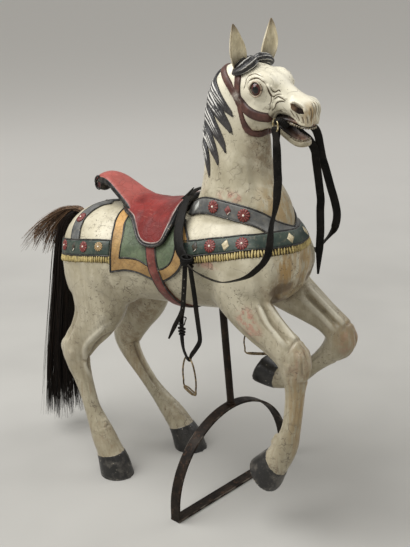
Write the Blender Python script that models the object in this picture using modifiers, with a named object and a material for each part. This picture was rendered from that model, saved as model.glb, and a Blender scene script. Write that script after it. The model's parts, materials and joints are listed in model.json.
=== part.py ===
"""Painted wooden carousel horse, standing on its hind hooves and an iron D-shaped stand.

Metres, +Z up, +X towards the horse's head, +Y towards its left side. The forms are worked out about
the foot of the stand's pole, and the whole object is then centred over the middle of its own box.
"""

import math

import bmesh
import bpy
import numpy as np
from mathutils import Matrix, Vector
from mathutils.bvhtree import BVHTree

# ---------------------------------------------------------------- driving dimensions
VOXEL = 0.004

STEEL = (0.035, 0.022, 0.016, 1.0)


def clear_scene():
    for old in list(bpy.data.objects):
        bpy.data.objects.remove(old)


def smooth_table(table, steps):
    """Rows of numbers as a Catmull-Rom curve through every row, sampled evenly between rows."""
    rows = np.array(table, float)
    padded = np.vstack([2 * rows[0] - rows[1], rows, 2 * rows[-1] - rows[-2]])
    out = []
    for i in range(len(rows) - 1):
        p0, p1, p2, p3 = padded[i : i + 4]
        for t in np.linspace(0, 1, steps, endpoint=False):
            out.append(
                0.5
                * (
                    2 * p1
                    + (p2 - p0) * t
                    + (2 * p0 - 5 * p1 + 4 * p2 - p3) * t**2
                    + (3 * p1 - p0 - 3 * p2 + p3) * t**3
                )
            )
    out.append(rows[-1])
    return np.array(out)


def loft(name, stations, sides=28, steps=6, squareness=2.0):
    """A closed tube through (x, y, z, half depth, half width) stations, its sections square to its path."""
    rows = smooth_table(stations, steps)
    tangents = np.gradient(rows[:, :3], axis=0)
    mesh = bmesh.new()
    rings = []
    for row, tangent in zip(rows, tangents):
        along = Vector(tangent).normalized()
        across = (Vector((0, 1, 0)) - along * along.y).normalized()
        depth = along.cross(across)
        ring = []
        for k in range(sides):
            c = math.cos(2 * math.pi * k / sides)
            s = math.sin(2 * math.pi * k / sides)
            c = math.copysign(abs(c) ** (2 / squareness), c)
            s = math.copysign(abs(s) ** (2 / squareness), s)
            ring.append(mesh.verts.new(Vector(row[:3]) + depth * (row[3] * c) + across * (row[4] * s)))
        rings.append(ring)
    for a, b in zip(rings, rings[1:]):
        for k in range(sides):
            mesh.faces.new((a[k], a[(k + 1) % sides], b[(k + 1) % sides], b[k]))
    mesh.faces.new(rings[0][::-1])
    mesh.faces.new(rings[-1])
    bmesh.ops.recalc_face_normals(mesh, faces=mesh.faces)
    data = bpy.data.meshes.new(name)
    mesh.to_mesh(data)
    mesh.free()
    obj = bpy.data.objects.new(name, data)
    bpy.context.scene.collection.objects.link(obj)
    return obj


def ellipsoid(name, centre, radii, turn=(0, 0, 0), segments=24):
    mesh = bmesh.new()
    bmesh.ops.create_uvsphere(mesh, u_segments=segments, v_segments=segments * 2 // 3, radius=1)
    data = bpy.data.meshes.new(name)
    mesh.to_mesh(data)
    mesh.free()
    obj = bpy.data.objects.new(name, data)
    rotation = Matrix.Rotation(math.radians(turn[2]), 4, "Z") @ Matrix.Rotation(math.radians(turn[1]), 4, "Y")
    rotation = rotation @ Matrix.Rotation(math.radians(turn[0]), 4, "X")
    data.transform(Matrix.Translation(centre) @ rotation @ Matrix.Diagonal((*radii, 1)))
    bpy.context.scene.collection.objects.link(obj)
    return obj


TRUNK = [  # x, z of the middle, half height, half width
    (-0.492, 0.598, 0.026, 0.030),
    (-0.478, 0.602, 0.072, 0.078),
    (-0.430, 0.608, 0.112, 0.118),
    (-0.350, 0.614, 0.127, 0.136),
    (-0.250, 0.622, 0.122, 0.136),
    (-0.150, 0.632, 0.122, 0.137),
    (-0.050, 0.646, 0.128, 0.136),
    (0.050, 0.664, 0.130, 0.130),
    (0.130, 0.682, 0.118, 0.118),
    (0.180, 0.695, 0.088, 0.080),
    (0.210, 0.702, 0.040, 0.040),
]
NECK = [  # x, z, half depth, half width
    (0.040, 0.720, 0.149, 0.092),
    (0.046, 0.785, 0.134, 0.079),
    (0.038, 0.850, 0.100, 0.065),
    (0.035, 0.895, 0.089, 0.060),
    (0.034, 0.940, 0.086, 0.056),
    (0.034, 0.985, 0.081, 0.053),
    (0.034, 1.035, 0.070, 0.050),
    (0.043, 1.080, 0.056, 0.046),
    (0.060, 1.112, 0.032, 0.034),
]
HEAD = [
    (0.040, 1.088, 0.034, 0.036),
    (0.068, 1.082, 0.049, 0.054),
    (0.100, 1.073, 0.053, 0.060),
    (0.132, 1.066, 0.046, 0.054),
    (0.160, 1.054, 0.035, 0.043),
    (0.190, 1.043, 0.029, 0.037),
    (0.215, 1.034, 0.028, 0.036),
    (0.234, 1.027, 0.025, 0.032),
    (0.243, 1.024, 0.016, 0.020),
]
JAW = [
    (0.120, 1.008, 0.022, 0.036),
    (0.150, 0.996, 0.014, 0.030),
    (0.175, 0.982, 0.013, 0.026),
    (0.197, 0.970, 0.016, 0.025),
    (0.217, 0.967, 0.015, 0.024),
    (0.232, 0.970, 0.008, 0.014),
]
MASSES = [  # centre, radii, turns about X, Y, Z: one side, and its mirror image
    ((0.128, 0.034, 1.092), (0.036, 0.026, 0.024), (0, 20, 0)),     # brow
    ((0.118, 0.044, 1.078), (0.026, 0.020, 0.026), (0, 0, 0)),      # eye socket
    ((0.108, 0.026, 1.030), (0.048, 0.028, 0.050), (0, 25, 0)),     # cheek
    ((0.168, 0.028, 1.060), (0.040, 0.014, 0.010), (0, 22, -14)),   # face ridge
    ((0.212, 0.024, 1.044), (0.022, 0.015, 0.016), (0, 20, 0)),     # nostril
    ((0.222, 0.012, 1.012), (0.022, 0.020, 0.014), (0, 10, 0)),     # upper lip
    ((-0.310, 0.085, 0.600), (0.120, 0.062, 0.105), (0, 20, 0)),    # stifle
    ((0.100, 0.085, 0.650), (0.095, 0.050, 0.090), (0, -30, 0)),    # shoulder
    ((0.143, 0.040, 0.650), (0.065, 0.048, 0.075), (0, 0, 0)),      # breast
]


HIND_RIGHT = [  # x, y, z, half depth, half width
    (-0.375, -0.050, 0.650, 0.090, 0.070),
    (-0.372, -0.070, 0.580, 0.106, 0.068),
    (-0.352, -0.088, 0.510, 0.092, 0.056),
    (-0.362, -0.098, 0.450, 0.068, 0.044),
    (-0.398, -0.105, 0.390, 0.049, 0.036),
    (-0.428, -0.109, 0.345, 0.046, 0.032),
    (-0.428, -0.110, 0.310, 0.040, 0.028),
    (-0.414, -0.111, 0.270, 0.029, 0.024),
    (-0.399, -0.112, 0.225, 0.024, 0.022),
    (-0.384, -0.113, 0.180, 0.023, 0.022),
    (-0.366, -0.113, 0.140, 0.028, 0.027),
    (-0.346, -0.114, 0.100, 0.034, 0.033),
    (-0.331, -0.114, 0.070, 0.035, 0.035),
    (-0.314, -0.114, 0.028, 0.043, 0.041),
    (-0.300, -0.114, -0.030, 0.047, 0.045),
]
HIND_LEFT = [
    (-0.375, 0.050, 0.650, 0.090, 0.070),
    (-0.370, 0.070, 0.580, 0.106, 0.068),
    (-0.345, 0.088, 0.505, 0.092, 0.056),
    (-0.350, 0.098, 0.440, 0.068, 0.044),
    (-0.390, 0.104, 0.370, 0.049, 0.036),
    (-0.432, 0.109, 0.312, 0.046, 0.032),
    (-0.434, 0.110, 0.277, 0.036, 0.028),
    (-0.412, 0.111, 0.235, 0.027, 0.024),
    (-0.380, 0.112, 0.193, 0.022, 0.021),
    (-0.343, 0.113, 0.152, 0.022, 0.022),
    (-0.306, 0.113, 0.117, 0.027, 0.027),
    (-0.275, 0.114, 0.086, 0.032, 0.033),
    (-0.256, 0.114, 0.064, 0.034, 0.035),
    (-0.232, 0.114, 0.025, 0.043, 0.041),
    (-0.215, 0.114, -0.030, 0.047, 0.045),
]
FORE_RIGHT = [
    (0.050, -0.050, 0.680, 0.090, 0.070),
    (0.078, -0.072, 0.620, 0.080, 0.062),
    (0.115, -0.088, 0.575, 0.062, 0.050),
    (0.160, -0.097, 0.540, 0.051, 0.042),
    (0.205, -0.100, 0.510, 0.044, 0.037),
    (0.242, -0.101, 0.480, 0.043, 0.036),
    (0.251, -0.101, 0.440, 0.036, 0.031),
    (0.252, -0.101, 0.395, 0.025, 0.023),
    (0.248, -0.101, 0.338, 0.023, 0.022),
    (0.241, -0.101, 0.290, 0.024, 0.023),
    (0.230, -0.101, 0.250, 0.030, 0.027),
    (0.214, -0.101, 0.215, 0.033, 0.031),
    (0.196, -0.101, 0.188, 0.037, 0.036),
    (0.172, -0.101, 0.152, 0.046, 0.042),
    (0.160, -0.101, 0.135, 0.046, 0.043),
]
FORE_LEFT = [
    (0.050, 0.050, 0.670, 0.090, 0.070),
    (0.080, 0.072, 0.605, 0.078, 0.060),
    (0.130, 0.088, 0.558, 0.058, 0.048),
    (0.185, 0.097, 0.528, 0.049, 0.042),
    (0.236, 0.100, 0.502, 0.043, 0.037),
    (0.268, 0.101, 0.468, 0.040, 0.036),
    (0.247, 0.101, 0.425, 0.033, 0.031),
    (0.215, 0.101, 0.393, 0.025, 0.024),
    (0.185, 0.101, 0.364, 0.022, 0.022),
    (0.155, 0.101, 0.336, 0.024, 0.023),
    (0.125, 0.101, 0.316, 0.029, 0.027),
    (0.100, 0.101, 0.309, 0.030, 0.030),
    (0.077, 0.101, 0.307, 0.033, 0.034),
    (0.040, 0.101, 0.316, 0.038, 0.040),
    (0.028, 0.101, 0.320, 0.038, 0.040),
]


# ---------------------------------------------------------------- painted harness, right side
CANTLE = [  # x, y, z, half thickness, half width of the saddle's upswept back
    (-0.262, 0.0, 0.744, 0.022, 0.062),
    (-0.290, 0.0, 0.760, 0.022, 0.052),
    (-0.318, 0.0, 0.778, 0.021, 0.045),
    (-0.345, 0.0, 0.795, 0.019, 0.038),
    (-0.368, 0.0, 0.803, 0.017, 0.031),
    (-0.384, 0.0, 0.800, 0.016, 0.027),
    (-0.391, 0.0, 0.788, 0.015, 0.025),
    (-0.387, 0.0, 0.778, 0.010, 0.020),
]
SEAT = [  # x, top z, edge y, edge z, roundness
    (-0.315, 0.772, 0.040, 0.757, 2.0),
    (-0.290, 0.778, 0.055, 0.750, 2.0),
    (-0.263, 0.774, 0.068, 0.746, 2.2),
    (-0.234, 0.770, 0.085, 0.741, 2.3),
    (-0.215, 0.769, 0.100, 0.731, 2.5),
    (-0.198, 0.769, 0.114, 0.716, 2.6),
    (-0.184, 0.771, 0.125, 0.705, 2.7),
    (-0.170, 0.773, 0.132, 0.698, 2.8),
    (-0.153, 0.776, 0.136, 0.694, 2.8),
    (-0.131, 0.783, 0.137, 0.695, 2.8),
    (-0.112, 0.792, 0.135, 0.701, 2.7),
    (-0.101, 0.797, 0.131, 0.712, 2.6),
    (-0.096, 0.798, 0.122, 0.727, 2.4),
    (-0.092, 0.797, 0.104, 0.748, 2.2),
]
CLOTH = [  # x, lower z, upper z
    (-0.308, 0.726, 0.738),
    (-0.290, 0.719, 0.742),
    (-0.278, 0.700, 0.744),
    (-0.270, 0.676, 0.745),
    (-0.265, 0.640, 0.746),
    (-0.262, 0.604, 0.747),
    (-0.235, 0.612, 0.748),
    (-0.205, 0.619, 0.748),
    (-0.172, 0.617, 0.748),
    (-0.141, 0.610, 0.748),
    (-0.112, 0.606, 0.749),
    (-0.086, 0.615, 0.750),
    (-0.062, 0.632, 0.749),
    (-0.044, 0.657, 0.740),
    (-0.032, 0.690, 0.724),
]
BREECHING = [  # the middle line of a band on the body: x, y, z
    (-0.490, 0.000, 0.612),
    (-0.486, -0.045, 0.618),
    (-0.465, -0.085, 0.625),
    (-0.430, -0.115, 0.636),
    (-0.380, -0.130, 0.647),
    (-0.310, -0.136, 0.660),
    (-0.255, -0.136, 0.667),
]
BREAST_LOW = [
    (-0.045, -0.130, 0.701),
    (-0.010, -0.126, 0.708),
    (0.033, -0.118, 0.717),
    (0.074, -0.114, 0.726),
    (0.114, -0.104, 0.734),
    (0.145, -0.092, 0.739),
    (0.175, -0.068, 0.743),
    (0.196, -0.036, 0.743),
    (0.204, 0.000, 0.741),
]
BREAST_HIGH = [
    (-0.085, -0.052, 0.783),
    (-0.045, -0.066, 0.793),
    (-0.005, -0.074, 0.799),
    (0.036, -0.080, 0.799),
    (0.078, -0.080, 0.795),
    (0.112, -0.075, 0.789),
    (0.140, -0.066, 0.782),
    (0.160, -0.052, 0.773),
    (0.177, -0.032, 0.762),
    (0.186, -0.012, 0.752),
]
CRUPPER = [
    (-0.360, -0.006, 0.742),
    (-0.385, -0.022, 0.733),
    (-0.400, -0.050, 0.720),
    (-0.408, -0.076, 0.706),
    (-0.405, -0.100, 0.686),
    (-0.398, -0.116, 0.668),
]
GIRTH = [
    (-0.143, -0.124, 0.698),
    (-0.132, -0.134, 0.665),
    (-0.124, -0.138, 0.640),
    (-0.115, -0.137, 0.616),
    (-0.107, -0.128, 0.588),
    (-0.100, -0.113, 0.566),
    (-0.094, -0.085, 0.541),
    (-0.090, -0.045, 0.524),
    (-0.088, 0.000, 0.519),
]
CHEEK_STRAP = [(0.068, -0.040, 1.116), (0.073, -0.054, 1.088), (0.070, -0.053, 1.064)]
THROAT_LATCH = [
    (0.012, -0.018, 1.116),
    (0.022, -0.032, 1.104),
    (0.045, -0.045, 1.080),
    (0.063, -0.047, 1.055),
    (0.076, -0.047, 1.025),
    (0.085, -0.044, 0.999),
    (0.094, -0.034, 0.982),
    (0.104, -0.012, 0.976),
]
CHEEKPIECE = [
    (0.070, -0.051, 1.062),
    (0.088, -0.051, 1.037),
    (0.114, -0.053, 1.022),
    (0.137, -0.046, 1.016),
    (0.158, -0.036, 1.014),
]
BAND = 0.036
STRAP = 0.013
RAISED = 0.003
MANE_LOCKS = [  # root on the crest and tip on the neck's right side: x, y, z each, half width
    ((0.010, -0.012, 1.118), (0.030, -0.046, 1.060), 0.012),
    ((-0.010, -0.010, 1.100), (0.046, -0.052, 1.005), 0.013),
    ((-0.026, -0.010, 1.070), (0.040, -0.056, 0.990), 0.013),
    ((-0.036, -0.010, 1.040), (0.048, -0.056, 0.958), 0.013),
    ((-0.042, -0.010, 1.010), (0.030, -0.058, 0.945), 0.013),
    ((-0.046, -0.010, 0.985), (0.038, -0.060, 0.916), 0.013),
    ((-0.050, -0.010, 0.955), (0.014, -0.060, 0.905), 0.013),
    ((-0.053, -0.010, 0.930), (0.000, -0.060, 0.885), 0.012),
    ((-0.056, -0.010, 0.905), (-0.018, -0.060, 0.858), 0.012),
    ((-0.060, -0.010, 0.880), (-0.034, -0.058, 0.838), 0.010),
]
EYE = (0.124, 0.054, 1.081)
EYE_RADIUS = 0.0135
NOSTRIL = (0.214, 0.040, 1.043)

# ---------------------------------------------------------------- pieces of their own
POLE_RADIUS = 0.0095
POLE_FOOT = (0.0, 0.0, 0.2491)
POLE_TOP = (-0.023, 0.0, 0.560)
ARCH_RADIUS = 0.215
ARCH_LEG = 0.030
ARCH_TURN = -7.8            # degrees between the arch's own normal and the horse's length
BAR_WIDTH = 0.030
BAR_THICKNESS = 0.006
GAP = 0.0003
LEATHER = 0.0025
TAIL = [
    (-0.466, 0.0, 0.688, 0.011, 0.011),
    (-0.488, 0.0, 0.700, 0.013, 0.013),
    (-0.505, 0.0, 0.704, 0.026, 0.026),
    (-0.540, 0.0, 0.694, 0.036, 0.038),
    (-0.574, 0.0, 0.655, 0.041, 0.044),
    (-0.586, 0.0, 0.590, 0.042, 0.045),
    (-0.586, 0.0, 0.500, 0.042, 0.045),
    (-0.586, 0.0, 0.400, 0.041, 0.044),
    (-0.590, 0.0, 0.250, 0.043, 0.046),
    (-0.600, 0.0, 0.120, 0.043, 0.046),
    (-0.604, 0.0, 0.065, 0.036, 0.040),
    (-0.605, 0.0, 0.045, 0.016, 0.018),
]
BIT = (0.170, 0.050, 1.008)
BIT_RADIUS = 0.005
BIT_RING = (0.166, 0.047, 1.002)
BIT_RING_RADIUS = 0.0145
RING_WIRE = 0.0015
REIN = 0.019
REIN_RIGHT = [  # middle line, and the way its flat face points
    ((0.167, -0.0430, 0.955), (0, -1, 0)),
    ((0.167, -0.0430, 0.975), (0, -1, 0)),
    ((0.167, -0.0428, 0.9900), (0, -1, 0)),
    ((0.167, -0.0436, 0.9950), (0, -0.7, -0.7)),
    ((0.167, -0.0470, 0.9972), (0, 0, -1)),
    ((0.167, -0.0504, 0.9950), (0, 0.7, -0.7)),
    ((0.167, -0.0512, 0.9900), (0, 1, 0)),
    ((0.171, -0.0530, 0.975), (0.1, 1, 0)),
    ((0.175, -0.0560, 0.950), (-0.3, 0.9, 0)),
    ((0.179, -0.0600, 0.905), (-0.59, 0.81, 0)),
    ((0.183, -0.0640, 0.883), (-0.59, 0.81, 0)),
    ((0.185, -0.0700, 0.862), (-0.62, 0.76, 0)),
    ((0.188, -0.0780, 0.841), (-0.75, 0.50, 0)),
    ((0.190, -0.0880, 0.821), (-0.88, 0.15, 0)),
    ((0.191, -0.0980, 0.805), (-0.92, 0.00, 0)),
    ((0.196, -0.1130, 0.791), (-0.85, 0.30, 0.1)),
    ((0.203, -0.1280, 0.776), (-0.80, 0.50, 0.2)),
    ((0.209, -0.1420, 0.757), (-0.75, 0.60, 0.2)),
    ((0.210, -0.1520, 0.737), (-0.70, 0.62, 0.3)),
    ((0.204, -0.1600, 0.720), (-0.60, 0.60, 0.5)),
    ((0.194, -0.1660, 0.707), (-0.40, 0.60, 0.7)),
    ((0.170, -0.1690, 0.685), (-0.20, 0.50, 0.85)),
    ((0.140, -0.1700, 0.670), (-0.10, 0.35, 0.95)),
    ((0.100, -0.1700, 0.657), (0.0, 0.30, 0.95)),
    ((0.064, -0.1690, 0.658), (0.05, 0.35, 0.95)),
    ((0.026, -0.1700, 0.668), (0.1, 0.5, 0.85)),
    ((0.004, -0.1704, 0.679), (0.3, 0.8, 0.5)),
]
REIN_LEFT = [  # from the free end up to the ring, over it, and round the breast to the stirrup strap
    ((0.2043, 0.0860, 0.618), (0.90, -0.45, 0)),
    ((0.2055, 0.0862, 0.641), (0.85, -0.52, 0)),
    ((0.2072, 0.0855, 0.672), (0.70, -0.70, 0)),
    ((0.2095, 0.0840, 0.706), (0.59, -0.81, 0)),
    ((0.2111, 0.0830, 0.731), (0.59, -0.81, 0)),
    ((0.2109, 0.0810, 0.781), (0.59, -0.81, 0)),
    ((0.2124, 0.0800, 0.806), (0.59, -0.81, 0)),
    ((0.2093, 0.0800, 0.830), (0.59, -0.81, 0)),
    ((0.2051, 0.0780, 0.866), (0.59, -0.81, 0)),
    ((0.2010, 0.0750, 0.902), (0.59, -0.81, 0)),
    ((0.2000, 0.0700, 0.926), (0.59, -0.81, 0)),
    ((0.1900, 0.0610, 0.951), (0.50, -0.81, 0.2)),
    ((0.1760, 0.0480, 0.968), (0.30, -0.80, 0.3)),
    ((0.1680, 0.0425, 0.980), (0, -1, 0)),
    ((0.1670, 0.0428, 0.990), (0, -1, 0)),
    ((0.1670, 0.0436, 0.9950), (0, -0.7, 0.7)),
    ((0.1670, 0.0470, 0.9972), (0, 0, 1)),
    ((0.1670, 0.0504, 0.9950), (0, 0.7, 0.7)),
    ((0.1680, 0.0520, 0.9900), (0, 1, 0)),
    ((0.1820, 0.0600, 0.9860), (-0.3, 0.8, 0.5)),
    ((0.1990, 0.0680, 0.9790), (-0.5, 0.8, 0.2)),
    ((0.2049, 0.0760, 0.961), (-0.59, 0.81, 0)),
    ((0.2065, 0.0830, 0.936), (-0.59, 0.81, 0)),
    ((0.2108, 0.0880, 0.905), (-0.59, 0.81, 0)),
    ((0.2181, 0.0900, 0.882), (-0.59, 0.81, 0)),
    ((0.2324, 0.0920, 0.835), (-0.59, 0.81, 0)),
    ((0.2397, 0.0940, 0.811), (-0.59, 0.81, 0)),
    ((0.2452, 0.0960, 0.787), (-0.59, 0.81, 0)),
    ((0.2464, 0.0980, 0.770), (-0.59, 0.81, -0.1)),
    ((0.2430, 0.1010, 0.751), (-0.50, 0.85, -0.2)),
    ((0.2359, 0.1050, 0.734), (-0.20, 0.85, -0.4)),
    ((0.2248, 0.1100, 0.719), (0.20, 0.65, -0.55)),
    ((0.2115, 0.1150, 0.702), (0.40, 0.45, -0.55)),
    ((0.1917, 0.1240, 0.679), (0.35, 0.50, -0.7)),
    ((0.1749, 0.1340, 0.662), (0.25, 0.60, -0.75)),
    ((0.150, 0.1500, 0.652), (0.10, 0.50, -0.85)),
    ((0.110, 0.1650, 0.645), (0.0, 0.35, -0.95)),
    ((0.064, 0.1710, 0.655), (-0.05, 0.35, -0.95)),
    ((0.026, 0.1710, 0.668), (-0.1, 0.5, -0.85)),
    ((0.004, 0.1704, 0.679), (-0.3, 0.8, -0.5)),
]
WITHERS_STRAP = [  # right half, from the top of the withers down to where the strap divides
    ((-0.0845, 0.000, 0.812), (0, 0, 1)),
    ((-0.0845, -0.030, 0.807), (0, -0.30, 0.95)),
    ((-0.0800, -0.062, 0.790), (0, -0.55, 0.83)),
    ((-0.0700, -0.095, 0.763), (0, -0.72, 0.69)),
    ((-0.058, -0.122, 0.735), (0.05, -0.85, 0.50)),
    ((-0.040, -0.143, 0.708), (0.10, -0.95, 0.25)),
    ((-0.018, -0.156, 0.690), (0.10, -0.99, 0)),
    ((-0.008, -0.159, 0.680), (0.10, -0.99, 0)),
]
STIRRUP_TOP = (-0.005, -0.168, 0.442)
STIRRUP_TURN = -28
STIRRUP = [  # outline of the wire, along the foot plate and up from its top
    (0.000, 0.000),
    (0.019, -0.007),
    (0.031, -0.027),
    (0.0365, -0.050),
    (0.0345, -0.070),
    (0.028, -0.087),
    (-0.028, -0.087),
    (-0.0345, -0.070),
    (-0.0365, -0.050),
    (-0.031, -0.027),
    (-0.019, -0.007),
]
STIRRUP_WIRE = 0.0019
FOOT_PLATE = (0.058, 0.014, 0.0026)
HANGER = [  # the strap through the stirrup: down one side and up the other
    ((-0.0120, -0.1600, 0.686), (0.10, -0.99, 0)),
    ((-0.0110, -0.1625, 0.670), (0.10, -0.99, 0)),
    ((-0.0120, -0.1640, 0.645), (0.15, -0.98, 0)),
    ((-0.0140, -0.1660, 0.611), (0.15, -0.98, 0)),
    ((-0.0170, -0.1680, 0.573), (0.10, -0.99, 0)),
    ((-0.0215, -0.1690, 0.545), (0.00, -1.00, 0)),
    ((-0.0215, -0.1700, 0.515), (-0.10, -0.99, 0)),
    ((-0.0210, -0.1705, 0.485), (-0.20, -0.98, 0)),
    ((-0.0165, -0.1715, 0.462), (-0.40, -0.90, 0)),
    ((-0.0075, -0.1727, 0.4455), (-0.469, -0.883, 0)),
    ((-0.0066, -0.1708, 0.4372), (-0.35, -0.65, -0.67)),
    ((-0.0050, -0.1680, 0.4352), (0, 0, -1)),
    ((-0.0034, -0.1652, 0.4372), (0.35, 0.65, -0.67)),
    ((-0.0010, -0.1635, 0.4470), (0.469, 0.883, 0)),
    ((0.0130, -0.1620, 0.468), (0.30, 0.95, 0)),
    ((0.0245, -0.1610, 0.491), (0.10, 0.99, 0)),
    ((0.0220, -0.1610, 0.524), (-0.05, 1.00, 0)),
    ((0.0165, -0.1605, 0.565), (-0.10, 0.99, 0)),
    ((0.0120, -0.1600, 0.603), (-0.10, 0.99, 0)),
    ((0.0070, -0.1595, 0.636), (-0.10, 0.99, 0)),
    ((0.0030, -0.1590, 0.662), (-0.10, 0.99, 0)),
    ((0.0000, -0.1585, 0.686), (-0.10, 0.99, 0)),
]
HANGER_WIDTH = 0.013
STRAP_END = [
    ((-0.0200, -0.1695, 0.560), (0.10, -0.99, 0)),
    ((-0.0235, -0.1742, 0.547), (0.20, -0.97, 0)),
    ((-0.0290, -0.1788, 0.534), (0.20, -0.97, 0)),
    ((-0.0360, -0.1800, 0.520), (0.30, -0.94, 0)),
    ((-0.0450, -0.1810, 0.502), (0.40, -0.92, 0)),
    ((-0.0525, -0.1820, 0.487), (0.40, -0.92, 0)),
]
BUCKLE = (-0.0215, -0.1693, 0.536)
BUCKLE_SIZE = (0.020, 0.018)
BUCKLE_WIRE = 0.0014
BUCKLE_LEAN = 32            # degrees between the buckle and the strap that threads it
FORK = 0.686                # height where the strap divides
LEFT_LONGER = 1.146         # the left stirrup hangs lower and further back than the right one
LEFT_BACK = 0.019


def middle(table):
    return [(x, 0.0, z, a, b) for x, z, a, b in table]


def raw_forms():
    forms = [
        loft("trunk", middle(TRUNK)),
        loft("neck", middle(NECK)),
        loft("head", middle(HEAD)),
        loft("jaw", middle(JAW)),
        loft("hind_right", HIND_RIGHT),
        loft("hind_left", HIND_LEFT),
        loft("fore_right", FORE_RIGHT),
        loft("fore_left", FORE_LEFT),
    ]
    for i, (centre, radii, turn) in enumerate(MASSES):
        for side in (1, -1):
            at = (centre[0], centre[1] * side, centre[2])
            forms.append(ellipsoid(f"mass_{i}_{side}", at, radii, (turn[0] * side, turn[1], turn[2] * side)))
    return forms


def joined(name, pieces):
    """Every piece in one mesh object; the pieces themselves go."""
    mesh = bmesh.new()
    for piece in pieces:
        part = bmesh.new()
        part.from_mesh(piece.data)
        data = bpy.data.meshes.new("part")
        part.transform(piece.matrix_world)
        part.to_mesh(data)
        part.free()
        mesh.from_mesh(data)
        bpy.data.meshes.remove(data)
        bpy.data.objects.remove(piece)
    data = bpy.data.meshes.new(name)
    mesh.to_mesh(data)
    mesh.free()
    obj = bpy.data.objects.new(name, data)
    bpy.context.scene.collection.objects.link(obj)
    return obj


def applied(obj):
    """The object with its modifiers made real."""
    bpy.context.view_layer.update()
    evaluated = obj.evaluated_get(bpy.context.evaluated_depsgraph_get())
    data = bpy.data.meshes.new_from_object(evaluated)
    obj.modifiers.clear()
    obj.data = data
    return obj


def fused(name, pieces, voxel, rounds):
    """The union of overlapping closed forms, with the creases between them softened."""
    obj = joined(name, pieces)
    remesh = obj.modifiers.new("fuse", "REMESH")
    remesh.mode = "VOXEL"
    remesh.voxel_size = voxel
    soften = obj.modifiers.new("soften", "SMOOTH")
    soften.factor = 0.5
    soften.iterations = rounds
    return applied(obj)


def boolean(obj, cutter, operation, crossing=False):
    """The object joined with, or cut by, another mesh, which goes. Crossing is for a mesh that meets itself."""
    step = obj.modifiers.new(operation.lower(), "BOOLEAN")
    step.object = cutter
    step.operation = operation
    step.solver = "EXACT"
    step.use_self = crossing
    applied(obj)
    bpy.data.objects.remove(cutter)
    return obj


def tree_of(obj):
    mesh = bmesh.new()
    mesh.from_mesh(obj.data)
    tree = BVHTree.FromBMesh(mesh)
    mesh.free()
    return tree


def from_rings(name, rings):
    """A closed mesh through rings of equal length, with flat ends."""
    mesh = bmesh.new()
    made = [[mesh.verts.new(point) for point in ring] for ring in rings]
    count = len(made[0])
    for a, b in zip(made, made[1:]):
        for k in range(count):
            mesh.faces.new((a[k], a[(k + 1) % count], b[(k + 1) % count], b[k]))
    mesh.faces.new(made[0][::-1])
    mesh.faces.new(made[-1])
    bmesh.ops.triangulate(mesh, faces=mesh.faces)
    bmesh.ops.recalc_face_normals(mesh, faces=mesh.faces)
    data = bpy.data.meshes.new(name)
    mesh.to_mesh(data)
    mesh.free()
    obj = bpy.data.objects.new(name, data)
    bpy.context.scene.collection.objects.link(obj)
    return obj


def mirrored(points):
    return [(x, -y, z) for x, y, z in points]


def across(points):
    """A half path that begins or ends on the middle plane, carried on to the other side."""
    if abs(points[0][1]) < 1e-6:
        return mirrored(points)[::-1] + list(points[1:])
    return list(points) + mirrored(points)[::-1][1:]


def strip(name, tree, points, width, raised, sink=0.005, steps=2, columns=3):
    """A flat band laid along a path on the carved surface."""
    rows = [Vector(row) for row in smooth_table(points, steps)]
    rows = [tree.find_nearest(row)[0] for row in rows]
    rings = []
    for i, row in enumerate(rows):
        along = (rows[min(i + 1, len(rows) - 1)] - rows[max(i - 1, 0)]).normalized()
        normal = tree.find_nearest(row)[1]
        side = normal.cross(along).normalized()
        outer = []
        inner = []
        for j in range(columns + 1):
            point, facing = tree.find_nearest(row + side * width * (j / columns - 0.5))[:2]
            facing = (facing + normal).normalized()
            outer.append(point + facing * raised)
            inner.append(point - facing * sink)
        rings.append(outer + inner[::-1])
    return from_rings(name, rings)


def panel(name, tree, stations, raised, sink, side, rows=5, steps=2):
    """A cloth hanging down one side: x, lower z and upper z, laid on the surface seen from that side."""
    rings = []
    for x, low, high in smooth_table(stations, steps):
        outer = []
        inner = []
        for j in range(rows + 1):
            z = low + (high - low) * j / rows
            towards = Vector((0, -side, 0))
            while tree.ray_cast(Vector((x, 0.4 * side, z)), towards)[0] is None:
                z -= 0.001
            point, facing = tree.ray_cast(Vector((x, 0.4 * side, z)), towards)[:2]
            outer.append(point + facing * raised)
            inner.append(point - facing * sink)
        rings.append(outer + inner[::-1])
    return from_rings(name, rings)


def seat(name, stations, steps=2, columns=14):
    """The saddle's seat and flaps, over the back from one edge to the other."""
    rings = []
    for x, top, edge_y, edge_z, power in smooth_table(stations, steps):
        outer = []
        inner = []
        for j in range(columns + 1):
            t = math.sin(math.pi / 2 * (2 * j / columns - 1))
            y = edge_y * t
            z = top - (top - edge_z) * abs(t) ** power
            outer.append(Vector((x, y, z)))
            inner.append(Vector((x, y * 0.80, z - 0.028 + 0.012 * abs(t) ** power)))
        rings.append(outer + inner[::-1])
    return from_rings(name, rings)


def ribbon(name, rows, width, thickness, steps=3, ends=(1.0, 1.0)):
    """A leather strap: points along its middle with the way its face points, narrowed towards its ends."""
    table = smooth_table([(*point, *facing) for point, facing in rows], steps)
    last = len(table) - 1
    rings = []
    for i, row in enumerate(table):
        here = Vector(row[:3])
        along = Vector(table[min(i + 1, last)][:3]) - Vector(table[max(i - 1, 0)][:3])
        along.normalize()
        facing = Vector(row[3:])
        facing = (facing - along * facing.dot(along)).normalized()
        side = along.cross(facing)
        narrowed = min(1.0, ends[0] + 0.9 * i / 6, ends[1] + 0.9 * (last - i) / 6)
        w = side * (width / 2 * narrowed)
        t = facing * (thickness / 2)
        rings.append([here + w + t, here - w + t, here - w - t, here + w - t])
    return from_rings(name, rings)


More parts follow.
